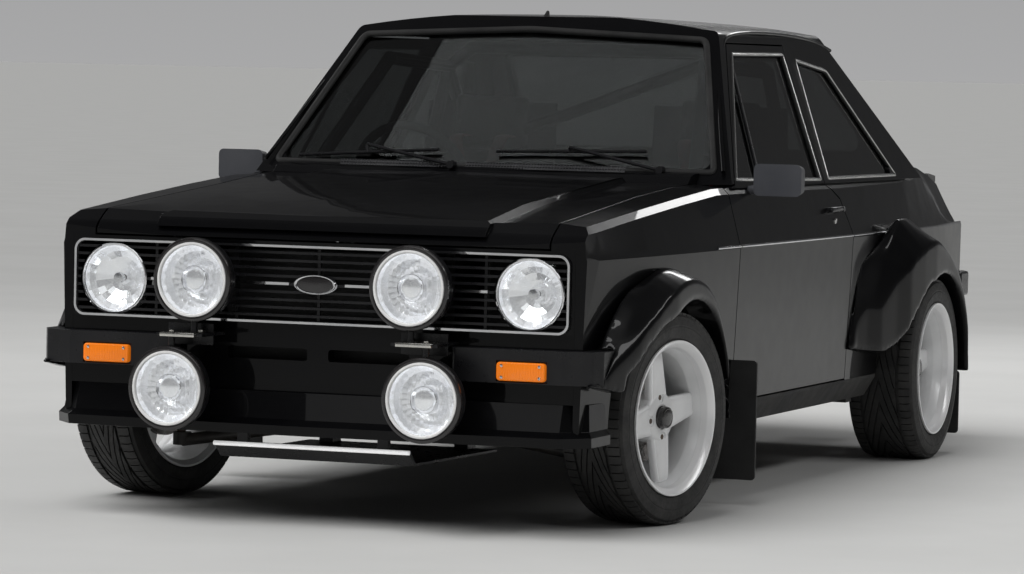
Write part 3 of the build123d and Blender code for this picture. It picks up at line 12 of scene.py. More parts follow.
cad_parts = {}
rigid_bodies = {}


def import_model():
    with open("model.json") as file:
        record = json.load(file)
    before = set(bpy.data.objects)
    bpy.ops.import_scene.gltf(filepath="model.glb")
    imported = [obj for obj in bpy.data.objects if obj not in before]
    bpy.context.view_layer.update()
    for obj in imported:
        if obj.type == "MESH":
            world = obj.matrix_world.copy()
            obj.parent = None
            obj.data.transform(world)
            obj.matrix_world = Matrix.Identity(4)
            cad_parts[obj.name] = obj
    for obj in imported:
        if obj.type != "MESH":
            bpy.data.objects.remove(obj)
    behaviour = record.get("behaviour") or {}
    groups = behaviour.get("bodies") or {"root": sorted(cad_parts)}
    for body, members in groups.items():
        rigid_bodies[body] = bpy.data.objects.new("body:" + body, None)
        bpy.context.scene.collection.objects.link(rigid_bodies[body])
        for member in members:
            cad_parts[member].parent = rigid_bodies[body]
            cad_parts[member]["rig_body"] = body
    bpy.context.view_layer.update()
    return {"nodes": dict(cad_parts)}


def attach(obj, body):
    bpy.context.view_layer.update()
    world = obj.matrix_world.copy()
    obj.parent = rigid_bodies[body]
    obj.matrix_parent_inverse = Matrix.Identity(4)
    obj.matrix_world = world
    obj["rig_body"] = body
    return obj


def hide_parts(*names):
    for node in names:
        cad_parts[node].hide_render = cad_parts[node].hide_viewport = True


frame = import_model()
nodes = frame["nodes"]
AXLE_Y = 1287.5
WHEELBASE = 2407
MERGE = 0.00002  # metres, under which points are merged
NEAR = 1e-5  # metres, within which two coordinates count as the same


def place(x, y, z):
    return Vector((x, y - AXLE_Y, z)) / 1000


def only(*pieces):
    """Leaves edit mode, and selects these pieces and nothing else."""
    if bpy.context.object and bpy.context.object.mode != "OBJECT":
        done()
    bpy.ops.object.select_all(action="DESELECT")
    for piece in pieces:
        piece.select_set(True)
        bpy.context.view_layer.objects.active = piece


def added(name):
    """The object that an operator has just made, under its own name and with its place put into its mesh."""
    bpy.ops.object.transform_apply()
    piece = bpy.context.object
    piece.name = name
    piece.data.name = name
    return piece


def done():
    """Leaves edit mode."""
    bpy.ops.object.mode_set(mode="OBJECT")


def opened(piece, kind="VERT", action="SELECT"):
    """Goes into edit mode with all of the piece selected, or none of it."""
    only(piece)
    bpy.ops.object.mode_set(mode="EDIT")
    bpy.ops.mesh.select_mode(type=kind)
    bpy.ops.mesh.select_all(action=action)


def pick(piece, wanted, kind="FACE"):
    """Opens the piece with what is wanted selected: faces (middle, normal), edges (both ends) or points."""
    opened(piece, kind, "DESELECT")
    done()
    mesh = piece.data
    if kind == "FACE":
        for face in mesh.polygons:
            face.select = bool(wanted(face.center, face.normal))
    elif kind == "EDGE":
        for edge in mesh.edges:
            edge.select = bool(wanted(*(mesh.vertices[end].co for end in edge.vertices)))
    else:
        for point in mesh.vertices:
            point.select = bool(wanted(point.co))
    bpy.ops.object.mode_set(mode="EDIT")


def close_up(piece):
    """Merges what lies together and turns every face outwards."""
    opened(piece)
    bpy.ops.mesh.remove_doubles(threshold=MERGE)
    bpy.ops.mesh.normals_make_consistent(inside=False)
    done()


def set_up(thing, settings):
    for name, value in settings.items():
        setattr(thing, name, value)


def worked(piece, kind, **settings):
    """Gives the piece one modifier and applies it."""
    only(piece)
    change = piece.modifiers.new(kind, kind)
    set_up(change, settings)
    bpy.ops.object.modifier_apply(modifier=change.name)


def smooth(piece, angle=32):
    only(piece)
    bpy.ops.object.shade_smooth_by_angle(angle=radians(angle))
    return piece


def softened(piece, width, segments=2, angle=28, shade=32):
    """Rounds the piece's edges that are sharper than angle, with width in millimetres."""
    worked(
        piece, "BEVEL", width=width / 1000, segments=segments, limit_method="ANGLE",
        angle_limit=radians(angle)
    )
    return smooth(piece, shade)


def moved(piece, matrix):
    """Puts the piece's place into its mesh, the object itself at the origin."""
    only(piece)
    piece.matrix_world = matrix @ piece.matrix_world
    bpy.ops.object.transform_apply()
    if matrix.determinant() < 0:
        close_up(piece)
    return piece


def linked(thing):
    bpy.context.collection.objects.link(thing)
    return thing


def copied(piece, name, matrix):
    twin = piece.copy()
    twin.data = piece.data.copy()
    twin.name = name
    return moved(linked(twin), matrix)


def discarded(*pieces):
    for piece in pieces:
        bpy.data.objects.remove(piece)


def coated(piece, finish):
    piece.data.materials.clear()
    piece.data.materials.append(finish)


def joined(name, *pieces):
    only(*reversed(pieces))
    bpy.context.view_layer.objects.active = pieces[0]
    if len(pieces) > 1:
        bpy.ops.object.join()
    return added(name)


def given(piece, finish, body="car_body", node=None):
    """Gives a piece its finish, its body and the node it stands for."""
    if finish:
        coated(piece, finish)
    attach(piece, body)
    if node:
        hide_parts(node)
    return piece


MIRROR = Matrix.Scale(-1, 4, (1, 0, 0))
SIDES = (("left", 1), ("right", -1))


def both(piece, finish, on_doors=False):
    """Gives the left piece its finish and makes its twin on the right, on the doors or on the car's body."""
    twin = copied(piece, piece.name + "_right", MIRROR)
    given(twin, finish, "right_door" if on_doors else "car_body")
    piece.name += "_left"
    given(piece, finish, "left_door" if on_doors else "car_body")


def spun(angle, axis="Z"):
    """A turn in degrees about an axis through the origin."""
    return Matrix.Rotation(radians(angle), 4, axis)


def at(x, y, z, angle=0, axis="Z"):
    """Where a form modelled at the origin goes: a turn in degrees, then a place in millimetres."""
    return Matrix.Translation(place(x, y, z)) @ spun(angle, axis)


def facing(x, y, z):
    """Where a form modelled about Z, outer side up, goes to look forwards."""
    return at(x, y, z, 90, "X")


def about(spot, turn):
    """A turn about a point."""
    return Matrix.Translation(spot) @ turn @ Matrix.Translation(-spot)


def four(piece):
    """The piece and three copies, a quarter turn apart about Z."""
    return [piece] + [copied(piece, piece.name, spun(angle)) for angle in (90, 180, 270)]


def block(name, low, high, width=0.0, segments=2):
    """A block between two corners in millimetres, its edges rounded to width."""
    low, high = place(*low), place(*high)
    only()
    bpy.ops.mesh.primitive_cube_add(size=1, location=(low + high) / 2, scale=high - low)
    piece = added(name)
    return softened(piece, width, segments) if width else piece


POLE = 0.05  # radius of the flat at a pole, as a share of the next row's


def turned(name, rows, sides=64, closed=False, base=0):
    """A turned form about Z through rows of radius and height over the base in millimetres. Radius 0 closes
    a pole, and closed joins the last row to the first."""
    only()
    rows = [(radius, height + base) for radius, height in rows]
    radius, height = rows[0]
    pole = radius == 0
    if pole:
        radius = rows[1][0] * POLE
    bpy.ops.mesh.primitive_circle_add(
        vertices=sides, radius=radius / 1000, location=(0, 0, height / 1000),
        fill_type="NGON" if pole else "NOTHING"
    )
    piece = added(name)
    opened(piece, "EDGE")
    for number, (next_radius, next_height) in enumerate(rows[1:]):
        if next_radius == 0:
            next_radius = radius * POLE
        lift = (0, 0, (next_height - height) / 1000)
        if pole and number == 0:
            bpy.ops.mesh.select_all(action="DESELECT")
            bpy.ops.mesh.select_non_manifold()
        bpy.ops.mesh.extrude_region_move(TRANSFORM_OT_translate={"value": lift})
        size = next_radius / radius
        if abs(size - 1) > 1e-6:
            bpy.ops.transform.resize(value=(size, size, 1), center_override=(0, 0, next_height / 1000))
        radius, height = next_radius, next_height
    if rows[-1][0] == 0:
        bpy.ops.mesh.edge_face_add()
    done()
    if closed:
        pick(piece, lambda a, b: on_rim(a, b, rows[0]) or on_rim(a, b, rows[-1]), "EDGE")
        bpy.ops.mesh.bridge_edge_loops()
    close_up(piece)
    return smooth(piece)


def on_rim(a, b, row):
    """Whether an edge runs along the circle of one row of a turned form."""
    radius, height = row[0] / 1000, row[1] / 1000
    return all(abs(end.z - height) < NEAR and abs(hypot(end.x, end.y) - radius) < NEAR for end in (a, b))


def wire(name, points, radius, sides=3, cyclic=False, curved=True):
    """A round bar along points in millimetres."""
    line = bpy.data.curves.new(name, "CURVE")
    line.dimensions = "3D"
    line.bevel_depth = radius / 1000
    line.bevel_resolution = sides
    line.use_fill_caps = True
    line.resolution_u = 6
    run = line.splines.new("NURBS" if curved else "POLY")
    run.points.add(len(points) - 1)
    for spot, point in zip(run.points, points):
        spot.co = (*place(*point), 1)
    if curved:
        run.order_u = 3
        run.use_endpoint_u = not cyclic
    run.use_cyclic_u = cyclic
    only(linked(bpy.data.objects.new(name, line)))
    bpy.ops.object.convert(target="MESH")
    return smooth(added(name), 50)


# Finishes

def node_of(finish, kind, inputs=(), **settings):
    node = finish.node_tree.nodes.new("ShaderNode" + kind)
    set_up(node, settings)
    for socket, value in dict(inputs).items():
        if isinstance(value, bpy.types.NodeSocket):
            finish.node_tree.links.new(value, node.inputs[socket])
        else:
            node.inputs[socket].default_value = value
    return node


def noise(finish, scale, detail=4, stretch=(1, 1, 1)):
    """Noise on Object coordinates, scale in patches a metre."""
    spot = node_of(finish, "TexCoord").outputs["Object"]
    stretched = node_of(finish, "Mapping", {"Vector": spot, "Scale": stretch}).outputs["Vector"]
    return node_of(finish, "TexNoise", {"Vector": stretched, "Scale": scale, "Detail": detail}).outputs["Fac"]


def mixed(finish, share, first, second):
    """Mixes two colours, each a triple, or one number for a grey."""
    first, second = (
        (*colour, 1) if isinstance(colour, tuple) else (colour,) * 3 + (1,) for colour in (first, second)
    )
    return node_of(finish, "Mix", {0: share, 6: first, 7: second}, data_type="RGBA").outputs[2]


def ranged(finish, value, low, high):
    """Spreads a noise's middle part over a range."""
    inputs = {"Value": value, "From Min": 0.35, "From Max": 0.65, "To Min": low, "To Max": high}
    return node_of(finish, "MapRange", inputs).outputs["Result"]


def bumped(finish, height, strength, depth):
    """Raises the surface by a height's share of a depth in millimetres."""
    bump = node_of(finish, "Bump", {"Height": height, "Strength": strength, "Distance": depth / 1000})
    shader = finish.node_tree.nodes["Principled BSDF"]
    finish.node_tree.links.new(bump.outputs["Normal"], shader.inputs["Normal"])


def started(name, colours, drift, gloss, low, high, sockets):
    """A finish whose colour drifts between two with one noise, and whose roughness drifts with another."""
    finish = bpy.data.materials.new(name)
    finish.use_nodes = True
    shader = finish.node_tree.nodes["Principled BSDF"]
    for socket, value in sockets.items():
        shader.inputs[socket.replace("_", " ")].default_value = value
    link = finish.node_tree.links.new
    link(mixed(finish, ranged(finish, noise(finish, *drift), 0, 1), *colours), shader.inputs["Base Color"])
    link(ranged(finish, noise(finish, *gloss), low, high), shader.inputs["Roughness"])
    return finish


def made(name, colour, second, roughness, spread, patch, grain, depth=0, stretch=(1, 1, 1), **sockets):
    """A finish that drifts in patches, with a fine grain of a depth in millimetres."""
    gloss = (patch * 5, 6, stretch)
    finish = started(name, (colour, second), (patch,), gloss, roughness - spread, roughness + spread, sockets)
    if depth:
        bumped(finish, noise(finish, grain, 3, stretch), 0.6, depth)
    return finish


# Emission that paints a glow onto a finish, as painted light
def painted_glow(colour, strength):
    return {"Emission_Color": (*colour, 1), "Emission_Strength": strength}


# Name, two colours, roughness and its spread, patches a metre, grains a metre, grain depth in mm
paint = made(
    "Black paint", (0.0018, 0.0018, 0.0022), (0.003, 0.003, 0.0034), 0.3, 0.02, 3, 340, 0.002,
    Specular_IOR_Level=0.05, Coat_Weight=0.55, Coat_Roughness=0.015, Coat_IOR=1.34)
satin_black = made(
    "Satin black", (0.006, 0.006, 0.007), (0.011, 0.011, 0.012), 0.3, 0.05, 7, 1100, 0.01,
    Specular_IOR_Level=0.35)
moulded = made(
    "Moulded black plastic", (0.022, 0.022, 0.024), (0.035, 0.035, 0.037), 0.52, 0.06, 7, 1500, 0.06)
mirror_shell = made(
    "Grained mirror shell", (0.045, 0.047, 0.055), (0.062, 0.064, 0.072), 0.55, 0.05, 7, 1300, 0.09)
rubber = made("Seal rubber", 0.012, 0.022, 0.6, 0.06, 7, 700, 0.03)
underseal = made("Stone-chip coat", (0.014, 0.014, 0.015), (0.03, 0.029, 0.027), 0.72, 0.08, 5, 260, 0.5)
bright = made(
    "Polished bright trim", (0.8, 0.8, 0.81), (0.7, 0.71, 0.73), 0.075, 0.03, 20, 500, 0.003, Metallic=1)
aluminium = made(
    "Brushed aluminium", (0.62, 0.62, 0.61), (0.48, 0.48, 0.47), 0.3, 0.1, 14, 260, 0.006, (1, 14, 14),
    Metallic=1)
radiator_black = made("Radiator black", 0.01, 0.02, 0.6, 0.08, 12, 160, 0.4, (1, 1, 5))
zinc = made(
    "Zinc-plated steel", (0.74, 0.72, 0.67), (0.64, 0.63, 0.6), 0.24, 0.05, 30, 900, 0.002, Metallic=1)
iron = made("Cast iron", (0.075, 0.07, 0.066), (0.14, 0.1, 0.075), 0.62, 0.1, 16, 420, 0.25, Metallic=0.6)
engine_cast = made(
    "Engine castings", (0.1, 0.105, 0.11), (0.17, 0.17, 0.165), 0.52, 0.1, 9, 380, 0.3, Metallic=0.5)
spring_steel = made("Painted spring steel", 0.02, (0.045, 0.04, 0.036), 0.5, 0.1, 18, 500, 0.08, Metallic=0.2)
exhaust_steel = made(
    "Heat-stained steel", (0.42, 0.38, 0.34), (0.22, 0.17, 0.14), 0.36, 0.1, 9, 300, 0.04, (6, 1, 6),
    Metallic=1)
tyre_rubber = made("Tyre rubber", 0.013, (0.03, 0.029, 0.028), 0.62, 0.08, 22, 900, 0.07)
wheel_silver = made(
    "Wheel silver", (0.84, 0.845, 0.85), (0.78, 0.785, 0.79), 0.36, 0.05, 16, 1200, 0.001,
    Metallic=0.15, Coat_Weight=0.3, Coat_Roughness=0.15)
wheel_lip = made(
    "Bright wheel lip", 0.9, (0.86, 0.86, 0.87), 0.3, 0.02, 8, 300, Metallic=0.2, Coat_Weight=0.25,
    Coat_Roughness=0.15)
# Near-white trim for the sump guard's edge; its emission is a painted glow that keeps it bright in the shade
# under the nose, a painted highlight
edge_silver_painted_glow = made(
    "Worn bright edge", 0.9, (0.84, 0.84, 0.85), 0.25, 0.05, 12, 300, 0.01, Metallic=0.3,
    **painted_glow((1, 1, 1), 0.4))
cap_black = made(
    "Wheel cap", (0.01, 0.009, 0.01), (0.018, 0.016, 0.016), 0.24, 0.05, 7, 700, 0.01,
    Coat_Weight=0.6, Coat_Roughness=0.06)
disc_iron = made("Brake disc", (0.34, 0.33, 0.32), (0.22, 0.2, 0.19), 0.32, 0.08, 40, 500, 0.03, Metallic=1)
white_rim = made("White enamel", (0.84, 0.84, 0.83), 0.76, 0.26, 0.05, 30, 900, 0.01, Coat_Weight=0.4)
# Reflector in the lamps: its emission is a painted glow, painted light standing in for the bright reflections
# in the bowl
reflector = made(
    "Silvered reflector", (0.93, 0.93, 0.94), (0.84, 0.85, 0.88), 0.14, 0.05, 35, 120, 0.05, Metallic=0.9,
    **painted_glow((0.94, 0.95, 0.97), 0.24))
bulb_glass = made("Bulb glass", (0.95, 0.95, 0.93), 0.9, 0.06, 0.03, 50, 900, Transmission_Weight=0.85)
cage_paint = made("Cage paint", (0.035, 0.035, 0.037), (0.055, 0.055, 0.057), 0.38, 0.06, 7, 600, 0.05)
dash_vinyl = made("Dashboard vinyl", (0.016, 0.016, 0.017), (0.024, 0.024, 0.025), 0.56, 0.05, 7, 800, 0.16)
carpet = made(
    "Looped carpet", (0.02, 0.02, 0.022), (0.045, 0.045, 0.047), 0.92, 0.04, 60, 650, 0.9,
    Sheen_Weight=0.4, Sheen_Roughness=0.5)
dial_face = made("Dial face", 0.01, 0.016, 0.4, 0.05, 60, 900, 0.01)
dial_marks = made("Dial marks", (0.8, 0.8, 0.76), (0.7, 0.7, 0.66), 0.5, 0.05, 60, 900, 0.01)
belt_red = made(
    "Harness webbing", (0.3, 0.012, 0.014), (0.2, 0.008, 0.01), 0.75, 0.05, 50, 900, 0.2, (1, 5, 5),
    Sheen_Weight=0.3)
mirror_face = made("Mirror glass", (0.86, 0.88, 0.89), (0.8, 0.83, 0.84), 0.03, 0.02, 10, 900, Metallic=1)


def glazed(name, colour, roughness=0.0, dirt=0.05, **sockets):
    """Clear or tinted glass with a film of dust that dulls it in patches."""
    colours = colour, tuple(value * 0.9 for value in colour)
    sockets = {"Transmission_Weight": 1.0, "IOR": 1.5, **sockets}
    return started(name, colours, (5, 6), (9, 8), roughness, roughness + dirt, sockets)


def bands(finish, scale, distortion, way, **inputs):
    """Even ridges on Object coordinates."""
    spot = node_of(finish, "TexCoord").outputs["Object"]
    inputs = {"Vector": spot, "Scale": scale, "Distortion": distortion, **inputs}
    return node_of(finish, "TexWave", inputs, bands_direction=way).outputs["Fac"]


def fluted(finish, scale, depth):
    """Adds moulded flutes across a lens."""
    bumped(finish, bands(finish, scale, 0, "X"), 0.8, depth)
    return finish


window_glass = glazed("Tinted window glass", (0.17, 0.18, 0.18), 0.0, 0.008)
clear_lens = fluted(glazed("Fluted lamp glass", (0.97, 0.98, 0.98)), 26, 0.5)
plain_lens = glazed("Clear lamp glass", (0.97, 0.98, 0.98), 0.0, 0.04)
# The amber lens's emission is a painted glow, a painted highlight inside the lens
amber_lens = fluted(glazed(
    "Amber lens", (0.95, 0.22, 0.012), 0.12, 0.08, Transmission_Weight=0.35,
    **painted_glow((1.0, 0.24, 0.01), 0.34)), 42, 0.6)
# The red lens's emission is a faint painted glow
red_lens = fluted(glazed(
    "Red lens", (0.55, 0.01, 0.01), 0.1, 0.08, Transmission_Weight=0.35,
    **painted_glow((0.6, 0.01, 0.01), 0.06)), 42, 0.6)


def woven(name, colour, second, pitch, depth):
    """Woven cloth: two sets of threads crossing, with a soft sheen."""
    finish = made(name, colour, second, 0.88, 0.05, 24, 900, Sheen_Weight=0.5, Sheen_Roughness=0.4)
    threads = [bands(finish, pitch, 0.6, way, Detail=1.0) for way in ("X", "DIAGONAL")]
    crossed = node_of(finish, "Math", {0: threads[0], 1: threads[1]}, operation="ADD").outputs[0]
    bumped(finish, crossed, 0.7, depth)
    return finish


seat_cloth = woven("Black woven cloth", (0.022, 0.022, 0.024), (0.034, 0.034, 0.036), 210, 0.7)
seat_side = woven("Black side cloth", (0.014, 0.014, 0.016), (0.022, 0.022, 0.024), 260, 0.5)


# Body panels and everything else of the frame that keeps its CAD shape

def fold_in(piece):
    """Lets the bonnet's raised middle down a little at its front edge."""
    half, front_y, low_z, drop = 0.466, (-488 - AXLE_Y) / 1000, 0.812, 0.0115
    pick(piece, lambda spot: abs(spot.x) < half and spot.y < front_y and spot.z > low_z, "VERT")
    bpy.ops.transform.translate(value=(0, 0, -drop))
    done()


def flowing(piece, skin=0.0055, body_side=0.783, rounds=22):
    """Rounds a moulded arch's ridges as one flowing skin, held where it meets the body."""
    worked(piece, "REMESH", mode="VOXEL", voxel_size=skin)
    free = piece.vertex_groups.new(name="free")
    free.add([point.index for point in piece.data.vertices if abs(point.co.x) > body_side], 1.0, "REPLACE")
    worked(piece, "SMOOTH", factor=0.5, iterations=rounds, vertex_group="free")
    bpy.ops.object.shade_smooth()


def dressed(node, finish, edge, angle):
    """A copy of a CAD node, its triangles merged and its hard edges rounded, which stands for the node."""
    source = nodes[node]
    piece = source.copy()
    piece.data = source.data.copy()
    for key in list(piece.keys()):
        del piece[key]
    piece.parent = None
    piece.name = node + "_finished"
    piece.data.name = piece.name
    opened(linked(piece))
    bpy.ops.mesh.remove_doubles(threshold=MERGE)
    bpy.ops.mesh.dissolve_limited(angle_limit=radians(0.25))
    done()
    if node == "bonnet":
        fold_in(piece)
    if node.endswith("_arches"):
        flowing(piece)
    elif edge:
        softened(piece, edge, 2, angle, 34)
        worked(piece, "WEIGHTED_NORMAL", keep_sharp=True)
    else:
        smooth(piece, 34)
    given(piece, finish, source["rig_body"], node)


for finish, slot, rows in (
    # each node with its edge width in millimetres and the angle that counts as an edge
    (paint, "body_paint", (
        ("roof", 3, 20), ("door_left", 1.6, 20), ("door_right", 1.6, 20), ("front_wings", 2.4, 16),
        ("rear_body", 2.4, 16), ("bonnet", 2.4, 7), ("boot_lid", 2.4, 14), ("scuttle", 1.5, 20),
        ("front_panel", 2.4, 20), ("tail_panel", 2.4, 20), ("front_arches", 3, 24), ("rear_arches", 3, 24),
        ("front_spoiler", 6, 14),
    )),
    (satin_black, "black_trim", (
        ("front_bumpers", 9, 20), ("rear_bumpers", 9, 20), ("grille", 1.1, 24), ("lamp_brackets", 1, 24),
    )),
    (rubber, "rubber", (("mud_flaps", 1.2, 24),)),
    (satin_black, "guard", (("sump_guard", 1, 24),)),
    (underseal, "underbody", (("inner_wings", 1.5, 24),)),
    (spring_steel, "steel", (("leaf_springs", 1, 24),)),
    (spring_steel, "underbody", (("front_crossmember", 2, 24),)),
    (spring_steel, "iron", (("rear_axle", 2, 24),)),
    (exhaust_steel, "steel", (("exhaust", 1, 30),)),
    (cage_paint, "cage_paint", (("roll_cage", 0, 30),)),
    (dash_vinyl, "black_trim", (("dashboard", 5, 24),)),
    (radiator_black, "steel", (("radiator", 1.5, 24),)),
    (mirror_shell, "black_trim", (("mirror_left", 9, 24), ("mirror_right", 9, 24))),
):
    for node, edge, angle in rows:
        dressed(node, finish, edge, angle)
for node, finish in (
    ("floor_pan", underseal), ("fixed_windows", window_glass), ("door_glass_left", window_glass),
    ("door_glass_right", window_glass), ("engine", engine_cast), ("upright_left", iron),
    ("upright_right", iron), ("grille_trim", bright), ("wipers", satin_black), ("seats", seat_cloth),
    ("steering_wheel", dash_vinyl),
):
    coated(nodes[node], finish)


# Wheels: tyre, rim with its spokes, nuts, cap and brake disc, modelled about Z with the outer side up

KINGPIN_X, HUB_Z, LEAN = 627.0, 288.829, radians(13)
STEERED, SPOKE_TURN, NUT_CIRCLE = -12, 6, 0.054
TREAD, LUG_HEIGHT = 281, 0.0066
WHEEL_ENDS = (
    # end, distance from the middle, width, dish, axle y, hub z
    ("front", 727.0, 198.0, 45.0, 0.0, HUB_Z), ("rear", 760.0, 218.0, 74.0, WHEELBASE, 288.0),
)


def wheel_place(end, sign, out, axle_y, hub_z):
    spot = at(sign * out, axle_y, hub_z, sign * 90, "Y")
    if end == "rear":
        return spot
    steering = spun(STEERED, Vector((-sign * sin(LEAN), 0, cos(LEAN))))
    return about(place(sign * KINGPIN_X, 0, HUB_Z), steering) @ spot


def tread_tyre(width):
    """A low road tyre: ribbed sidewalls, shoulder blocks, and a chevron tread between two round grooves."""
    half = width / 2
    band = half - 53
    rows = [(radius, half - inset) for radius, inset in (
        (199.5, 14), (204, 9), (209, 6.5), (211, 9), (214, 6), (228, 2), (244, 0.4), (247, 1.8), (250, 0.8),
        (262, 2.4), (272, 5), (276.5, 12), (TREAD, 27), (TREAD, 47),
    )] + [(TREAD, band * share) for share in (1, 0.75, 0.5, 0.25)]
    rows += [(TREAD, 0)] + [(radius, -height) for radius, height in reversed(rows)]
    tyre = turned("tyre", rows, 72, closed=True)
    for step in range(4):
        row = band * step / 4000
        pick(tyre, lambda spot: abs(abs(spot.z) - row) < 1e-4 and hypot(spot.x, spot.y) > 0.27, "VERT")
        bpy.ops.transform.rotate(value=radians(10 * (4 - step)), orient_axis="Z", center_override=(0, 0, 0))
        done()

    def in_lugs(spot, middle, odd):
        """Whether a face is in the odd or even lugs of the middle's chevrons or of a shoulder."""
        radius, height = hypot(spot.x, spot.y) * 1000, abs(spot.z) * 1000
        step = atan2(spot.y, spot.x) / pi * 36 % 72
        if middle:
            slip = 8 - 8 * height / band
            return 278.5 < radius < TREAD + 0.2 and height < band and int((step + slip) % 72 / 3) % 2 == odd
        return 277 < radius < TREAD + 0.2 and half - 47 < height < half - 12 and int(step) % 2 == odd

    for middle, gap in ((False, 0.0013), (True, 0.0020)):
        for odd in (0, 1):
            pick(tyre, lambda spot, normal: in_lugs(spot, middle, odd))
            bpy.ops.mesh.inset(thickness=gap, depth=0, use_boundary=True, use_even_offset=True)
            bpy.ops.mesh.extrude_region_shrink_fatten(TRANSFORM_OT_shrink_fatten={"value": LUG_HEIGHT})
            done()
    return smooth(tyre, 26)


def spoked_wheel(width, dish):
    """The rim with a bright lip, four tapering spokes and a hub with a recess for each nut."""
    half = width / 2
    face = half - dish
    barrel = turned("barrel", [(radius, way * (half - inset)) for way, rows in (
        (1, ((209, 1.5), (209, 6.5), (198.5, 12.5), (198.5, 34), (182, 52))),
        (-1, (
            (182, 60), (198.5, 34), (198.5, 12.5), (209, 6.5), (209, 1.5), (207.5, 0.5), (203, 0.5), (201, 2),
            (190, 14), (190, 36), (175, 62),
        )),
        (1, (
            (175, 62), (176, 58), (186, 36), (188, 33), (188.5, 16), (190, 13), (200, 3), (203, 0.8),
            (207.5, 0.5),
        )),
    ) for radius, inset in rows], 96, closed=True)
    barrel.data.materials.append(wheel_silver)
    barrel.data.materials.append(wheel_lip)
    pick(barrel, lambda spot, normal: 0.1865 < hypot(spot.x, spot.y) < 0.2078 and spot.z > (half - 34) / 1000
         and normal.x * spot.x + normal.y * spot.y < 0.002)
    barrel.active_material_index = 1
    bpy.ops.object.material_slot_assign()
    done()

    only()
    spot = (0.102, 0, (face - 19) / 1000)
    bpy.ops.mesh.primitive_cube_add(size=1, location=spot, scale=(0.155, 0.092, 0.022))
    spoke = added("spoke")
    pick(spoke, lambda spot, normal: normal.x > 0.9)
    bpy.ops.transform.resize(value=(1, 0.67, 1), center_override=(0.18, 0, (face - 19) / 1000))
    done()
    pick(spoke, lambda spot, normal: normal.z > 0.9)
    bpy.ops.mesh.inset(thickness=0.012, depth=0)
    bpy.ops.transform.translate(value=(0, 0, 0.004))
    done()
    softened(spoke, 7, 4, 10, 60)
    spokes = four(spoke)

    hub = turned("hub", (
        (0, -56), (70, -56), (70, -16), (68, -9), (63, -4), (56, -1), (34, 0), (33, -3), (0, -3),
    ), 72, base=face)
    only()
    spot = (NUT_CIRCLE, 0, face / 1000)
    bpy.ops.mesh.primitive_cylinder_add(vertices=32, radius=0.0145, depth=0.032, location=spot)
    cutter = added("cutter")
    cutter = joined("cutter", *four(cutter))
    worked(hub, "BOOLEAN", object=cutter)
    discarded(cutter)
    softened(hub, 1.2, 2, 40, 40)
    for piece in (*spokes, hub):
        coated(piece, wheel_silver)
    return joined("rim", barrel, *spokes, hub)


def wheel_nuts(face):
    only()
    spot = (NUT_CIRCLE, 0, (face - 13) / 1000)
    bpy.ops.mesh.primitive_cylinder_add(vertices=6, radius=0.0112, depth=0.010, location=spot)
    nut = added("nut")
    pick(nut, lambda spot, normal: normal.z > 0.9)
    bpy.ops.mesh.inset(thickness=0.0030, depth=0.001)
    bpy.ops.mesh.extrude_region_move(TRANSFORM_OT_translate={"value": (0, 0, 0.004)})
    done()
    softened(nut, 0.6, 1)
    return joined("nuts", *four(nut))


def brake_disc(face):
    """A vented disc: two plates with a slot round the edge, its bell towards the hub."""
    return turned("disc", (
        (58, 20), (74, 20), (78, 17), (80, 19.5), (123, 19.5), (124, 18.5), (124, 13), (114, 13), (114, 7),
        (124, 7), (124, 1.5), (123, 0.5), (58, 0.5),
    ), 72, closed=True, base=face - 76)


def centre_cap(face):
    return turned("cap", (
        (31, -2), (31, 1), (29.5, 3), (29.5, 13), (28, 17), (24, 19), (22, 18.4), (19, 19.4), (8, 20),
        (0, 20),
    ), 48, base=face)


spin = spun(SPOKE_TURN)
still = Matrix.Identity(4)
for end, out, width, dish, axle_y, hub_z in WHEEL_ENDS:
    face = width / 2 - dish
    for model, turn, finish, slot, node in (
        (tread_tyre(width), still, tyre_rubber, "tyre", "tyre"),
        (spoked_wheel(width, dish), spin, None, "wheel_silver", "wheel"),
        (wheel_nuts(face), spin, iron, "steel", None), (brake_disc(face), still, disc_iron, "iron", None),
        (centre_cap(face), still, cap_black, "black_trim", None),
    ):
        for side, sign in SIDES:
            spot = wheel_place(end, sign, out, axle_y, hub_z)
            piece = copied(model, f"{end}_{side}_{model.name}", spot @ turn)
            given(piece, finish, f"{end}_{side}_wheel", node and f"{node}_{end}_{side}")
        discarded(model)


# Lamps: bowl, ring, reflector, bulb and glass, modelled about Z with the glass up

def lamp_dome(radius, rise):
    """The lamp's glass: a shallow dome with its own thickness and a rolled edge."""
    return turned("glass", [(radius * share, rise * high - under) for share, high, under in (
        (0, 1, 0), (0.25, 0.95, 0), (0.5, 0.8, 0), (0.72, 0.56, 0), (0.88, 0.28, 0), (0.97, 0.05, 0),
        (1, 0, 1.5), (1, 0, 4), (0.96, 0, 4), (0.86, 0.28, 4), (0.5, 0.8, 4), (0, 1, 4),
    )])


def facet_bowl(radius, depth, sides):
    """A pressed reflector whose flat facets each catch the light their own way."""
    rows = [(radius * share, -depth * deep - under) for share, deep, under in (
        (0.95, 0.3, 0), (0.82, 0.56, 0), (0.64, 0.76, 0), (0.42, 0.92, 0), (0.22, 1, 0), (0.1, 1, 0),
        (0.1, 1, 3), (0.24, 1, 3), (0.68, 0.76, 3), (0.98, 0.3, 2),
    )]
    bowl = turned("reflector", [(radius, -5), *rows, (radius + 1, -5)], sides, closed=True)
    only(bowl)
    bpy.ops.object.shade_flat()
    return bowl


def lamp_bulb(foot, reach):
    """The bulb, from the back of the bowl up to the metal cap ahead of it."""
    return turned("bulb", (
        (0, 0), (8, 0), (8.5, 8), (6, 10), (7.5, 16), (9, reach * 0.5), (8, reach * 0.8), (4, reach * 0.96),
        (0, reach),
    ), 32, base=foot)


